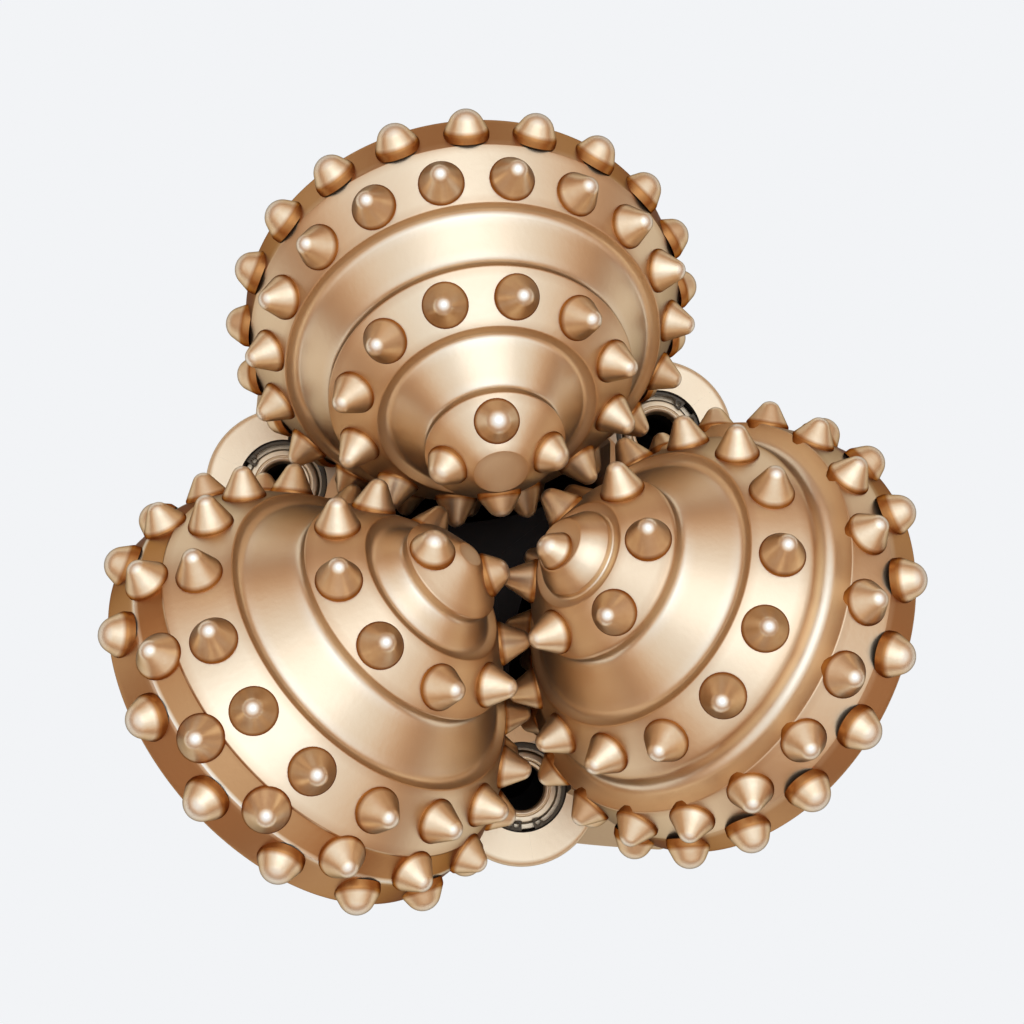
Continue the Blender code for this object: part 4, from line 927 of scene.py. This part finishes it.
def weldRing(number, foot, place):
    look = plugWeldLook
    shape = bmesh.new()
    rings = []
    dice = random.Random(90 + number)
    for k in range(look["steps"]):
        turn = math.tau * k / look["steps"]
        ripple = 0.75 + 0.25 * abs(math.sin(turn * look["ripples"] + 0.3 * math.sin(3 * turn)))
        points = []
        for a in range(look["across"] + 1):
            share = a / look["across"]
            bulge = look["height"] * ripple * math.sin(math.pi * (0.12 + 0.84 * share))
            wobble = dice.uniform(-look["rough"], look["rough"])
            points.append((look["inner"] + look["width"] * share, foot + 0.2 + (bulge + wobble)))
        points += [(look["inner"] + look["width"], foot - 0.3), (look["inner"], foot - 0.3)]
        rings.append([shape.verts.new((radius * mm * math.cos(turn), radius * mm * math.sin(turn), height * mm))
                      for radius, height in points])
    for a, b in zip(rings, rings[1:] + rings[:1]):
        for k in range(len(a)):
            j = (k + 1) % len(a)
            shape.faces.new((a[k], a[j], b[j], b[k]))
    weld = newObject(f"ballPlug{number + 1}Weld", shape, weldPaint, 60, place)
    ridePieces([weld], "bit_body", [])


buttonLook = dict(count=9, inset=9.5, radius=4.4, proud=0.8, crown=2.6, firstTurn=-16.0, sweep=212.0)


def shirttailButtons(number):
    # low carbide buttons round the outer edge of the leg, which guard it against the hole's wall
    look, outer = buttonLook, legLook["outerRadius"]
    run = rounded([(0.0, look["proud"]), (look["crown"], look["proud"], 1.6), (look["radius"] - 0.2, 0.25, 0.5),
                   (look["radius"], -1.0)])
    circle = legLook["armHalfWidth"] - look["inset"]
    places = []
    for k in range(look["count"]):
        turn = math.radians(look["firstTurn"] + look["sweep"] * k / (look["count"] - 1))
        across, height = circle * math.cos(turn), legLook["armCentre"] + circle * math.sin(turn)
        lean = Matrix.Rotation(legAngle(number) + math.asin(across / outer), 4, "Z")
        spot = lean @ Matrix.Translation((outer * mm, 0, height * mm))
        places.append(spot @ Matrix.Rotation(math.radians(90), 4, "Y"))
    buttons = copiesOf(f"leg{number + 1}Buttons", spaced(run, 1.2), 32, places, insertPaint)
    ridePieces([buttons], "bit_body", [])


ridePieces([pinThread()], "bit_body", [])
for number in range(3):
    ridePieces([seamWeld(number)], "bit_body", [])
    nozzleParts(number)
    reservoirParts(number)
    ballPlugParts(number)
    shirttailButtons(number)
print("legs dressed")

# the bearings inside keep their solids and only get a finish
bearingFinishes = dict(journal_bushing=bearingBronze, journal_seal=sealRubber, thrust_button=bearingBronze,
                       race_ball=brightSteel)
for nodeName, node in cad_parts.items():
    finish = next((f for start, f in bearingFinishes.items() if nodeName.startswith(start)), legPaint)
    if not node.data.materials:
        node.data.materials.append(finish)
    for slot in range(len(node.data.materials)):
        node.data.materials[slot] = finish


# the photograph's own camera. focus is in pixels of a picture 1024 pixels wide
camera = dict(place=(-0.04095, -0.05951, 0.62734), right=(0.98602, -0.14895, 0.07473),
              down=(-0.13604, -0.97846, -0.15525), ahead=(0.09625, 0.14291, -0.98504),
              focus=1676.2, width=1024, sensor=36.0)
cameraData = bpy.data.cameras.new("camera")
cameraData.sensor_width = camera["sensor"]
cameraData.lens = camera["focus"] / camera["width"] * camera["sensor"]
cameraData.clip_start = 0.01
cameraObject = bpy.data.objects.new("camera", cameraData)
bpy.context.scene.collection.objects.link(cameraObject)
turn = Matrix((Vector(camera["right"]), -Vector(camera["down"]), -Vector(camera["ahead"]))).transposed()
cameraObject.matrix_world = Matrix.Translation(camera["place"]) @ turn.to_4x4()
bpy.context.scene.camera = cameraObject

# the ceiling's stops go from the horizon up
studio = dict(
    backdrop=(0.94, 0.957, 0.98), bounce=(0.10, 0.04, 0.015), shadow=0.06, floorHeight=-0.1081, floorSize=25.0,
    ceiling=[(0.0, (0.14, 0.05, 0.015)), (0.20, (0.30, 0.115, 0.025)), (0.42, (0.70, 0.43, 0.21)),
             (0.62, (0.92, 0.98, 1.08)), (1.0, (0.86, 1.01, 1.28))],
    softbox=dict(place=(0.12, 0.10, 1.9), size=1.7, power=6.6, colour=(0.80, 0.98, 1.27)))


def paleGround(name, look):
    # a pale ground that the camera and reflections see near its own colour, with the shadow kept faintly
    ground = Finish(name, Base_Color=(*look["bounce"], 1), Roughness=0.9)
    rays = ground.node("LightPath", output="Is Camera Ray")
    seen = (rays + rays.beside("Is Glossy Ray") + rays.beside("Is Transmission Ray")).clamped()
    glow = ground.node("Emission", sockets={"Color": (*look["backdrop"], 1)})
    lit = Wire(ground.tree, ground.shader.outputs[0])
    blend = ground.node("MixShader", sockets={0: seen * (1 - look["shadow"]), 1: lit, 2: glow})
    ground.plug(ground.tree.nodes["Material Output"].inputs["Surface"], blend)
    return ground.material


shape = bmesh.new()
bmesh.ops.create_grid(shape, x_segments=1, y_segments=1, size=studio["floorSize"])
bmesh.ops.translate(shape, verts=shape.verts, vec=(0, 0, studio["floorHeight"]))
floor = newObject("floor", shape, paleGround("paleFloor", studio))

# a ceiling of light that fades to warm dark walls
world = bpy.data.worlds.new("studio")
bpy.context.scene.world = world
world.use_nodes = True
sky = Nodes(world.node_tree)
height = sky.node("SeparateXYZ", sockets={0: sky.node("TexCoord", output="Generated")}, output="Z")
ceiling = sky.node("ValToRGB", dict(stops=studio["ceiling"]), {"Fac": height})
sky.plug(world.node_tree.nodes["Background"].inputs["Color"], ceiling)

softbox = studio["softbox"]
lamp = bpy.data.lights.new("overheadSoftbox", "AREA")
lamp.shape = "DISK"
lamp.size = softbox["size"]
lamp.energy = softbox["power"]
lamp.color = softbox["colour"]
lampObject = bpy.data.objects.new("overheadSoftbox", lamp)
lampObject.location = softbox["place"]
lampObject.rotation_euler = (apex - Vector(softbox["place"])).to_track_quat("-Z", "Y").to_euler()
bpy.context.scene.collection.objects.link(lampObject)

bpy.context.scene.view_settings.view_transform = "Standard"
print("camera, floor and light made")
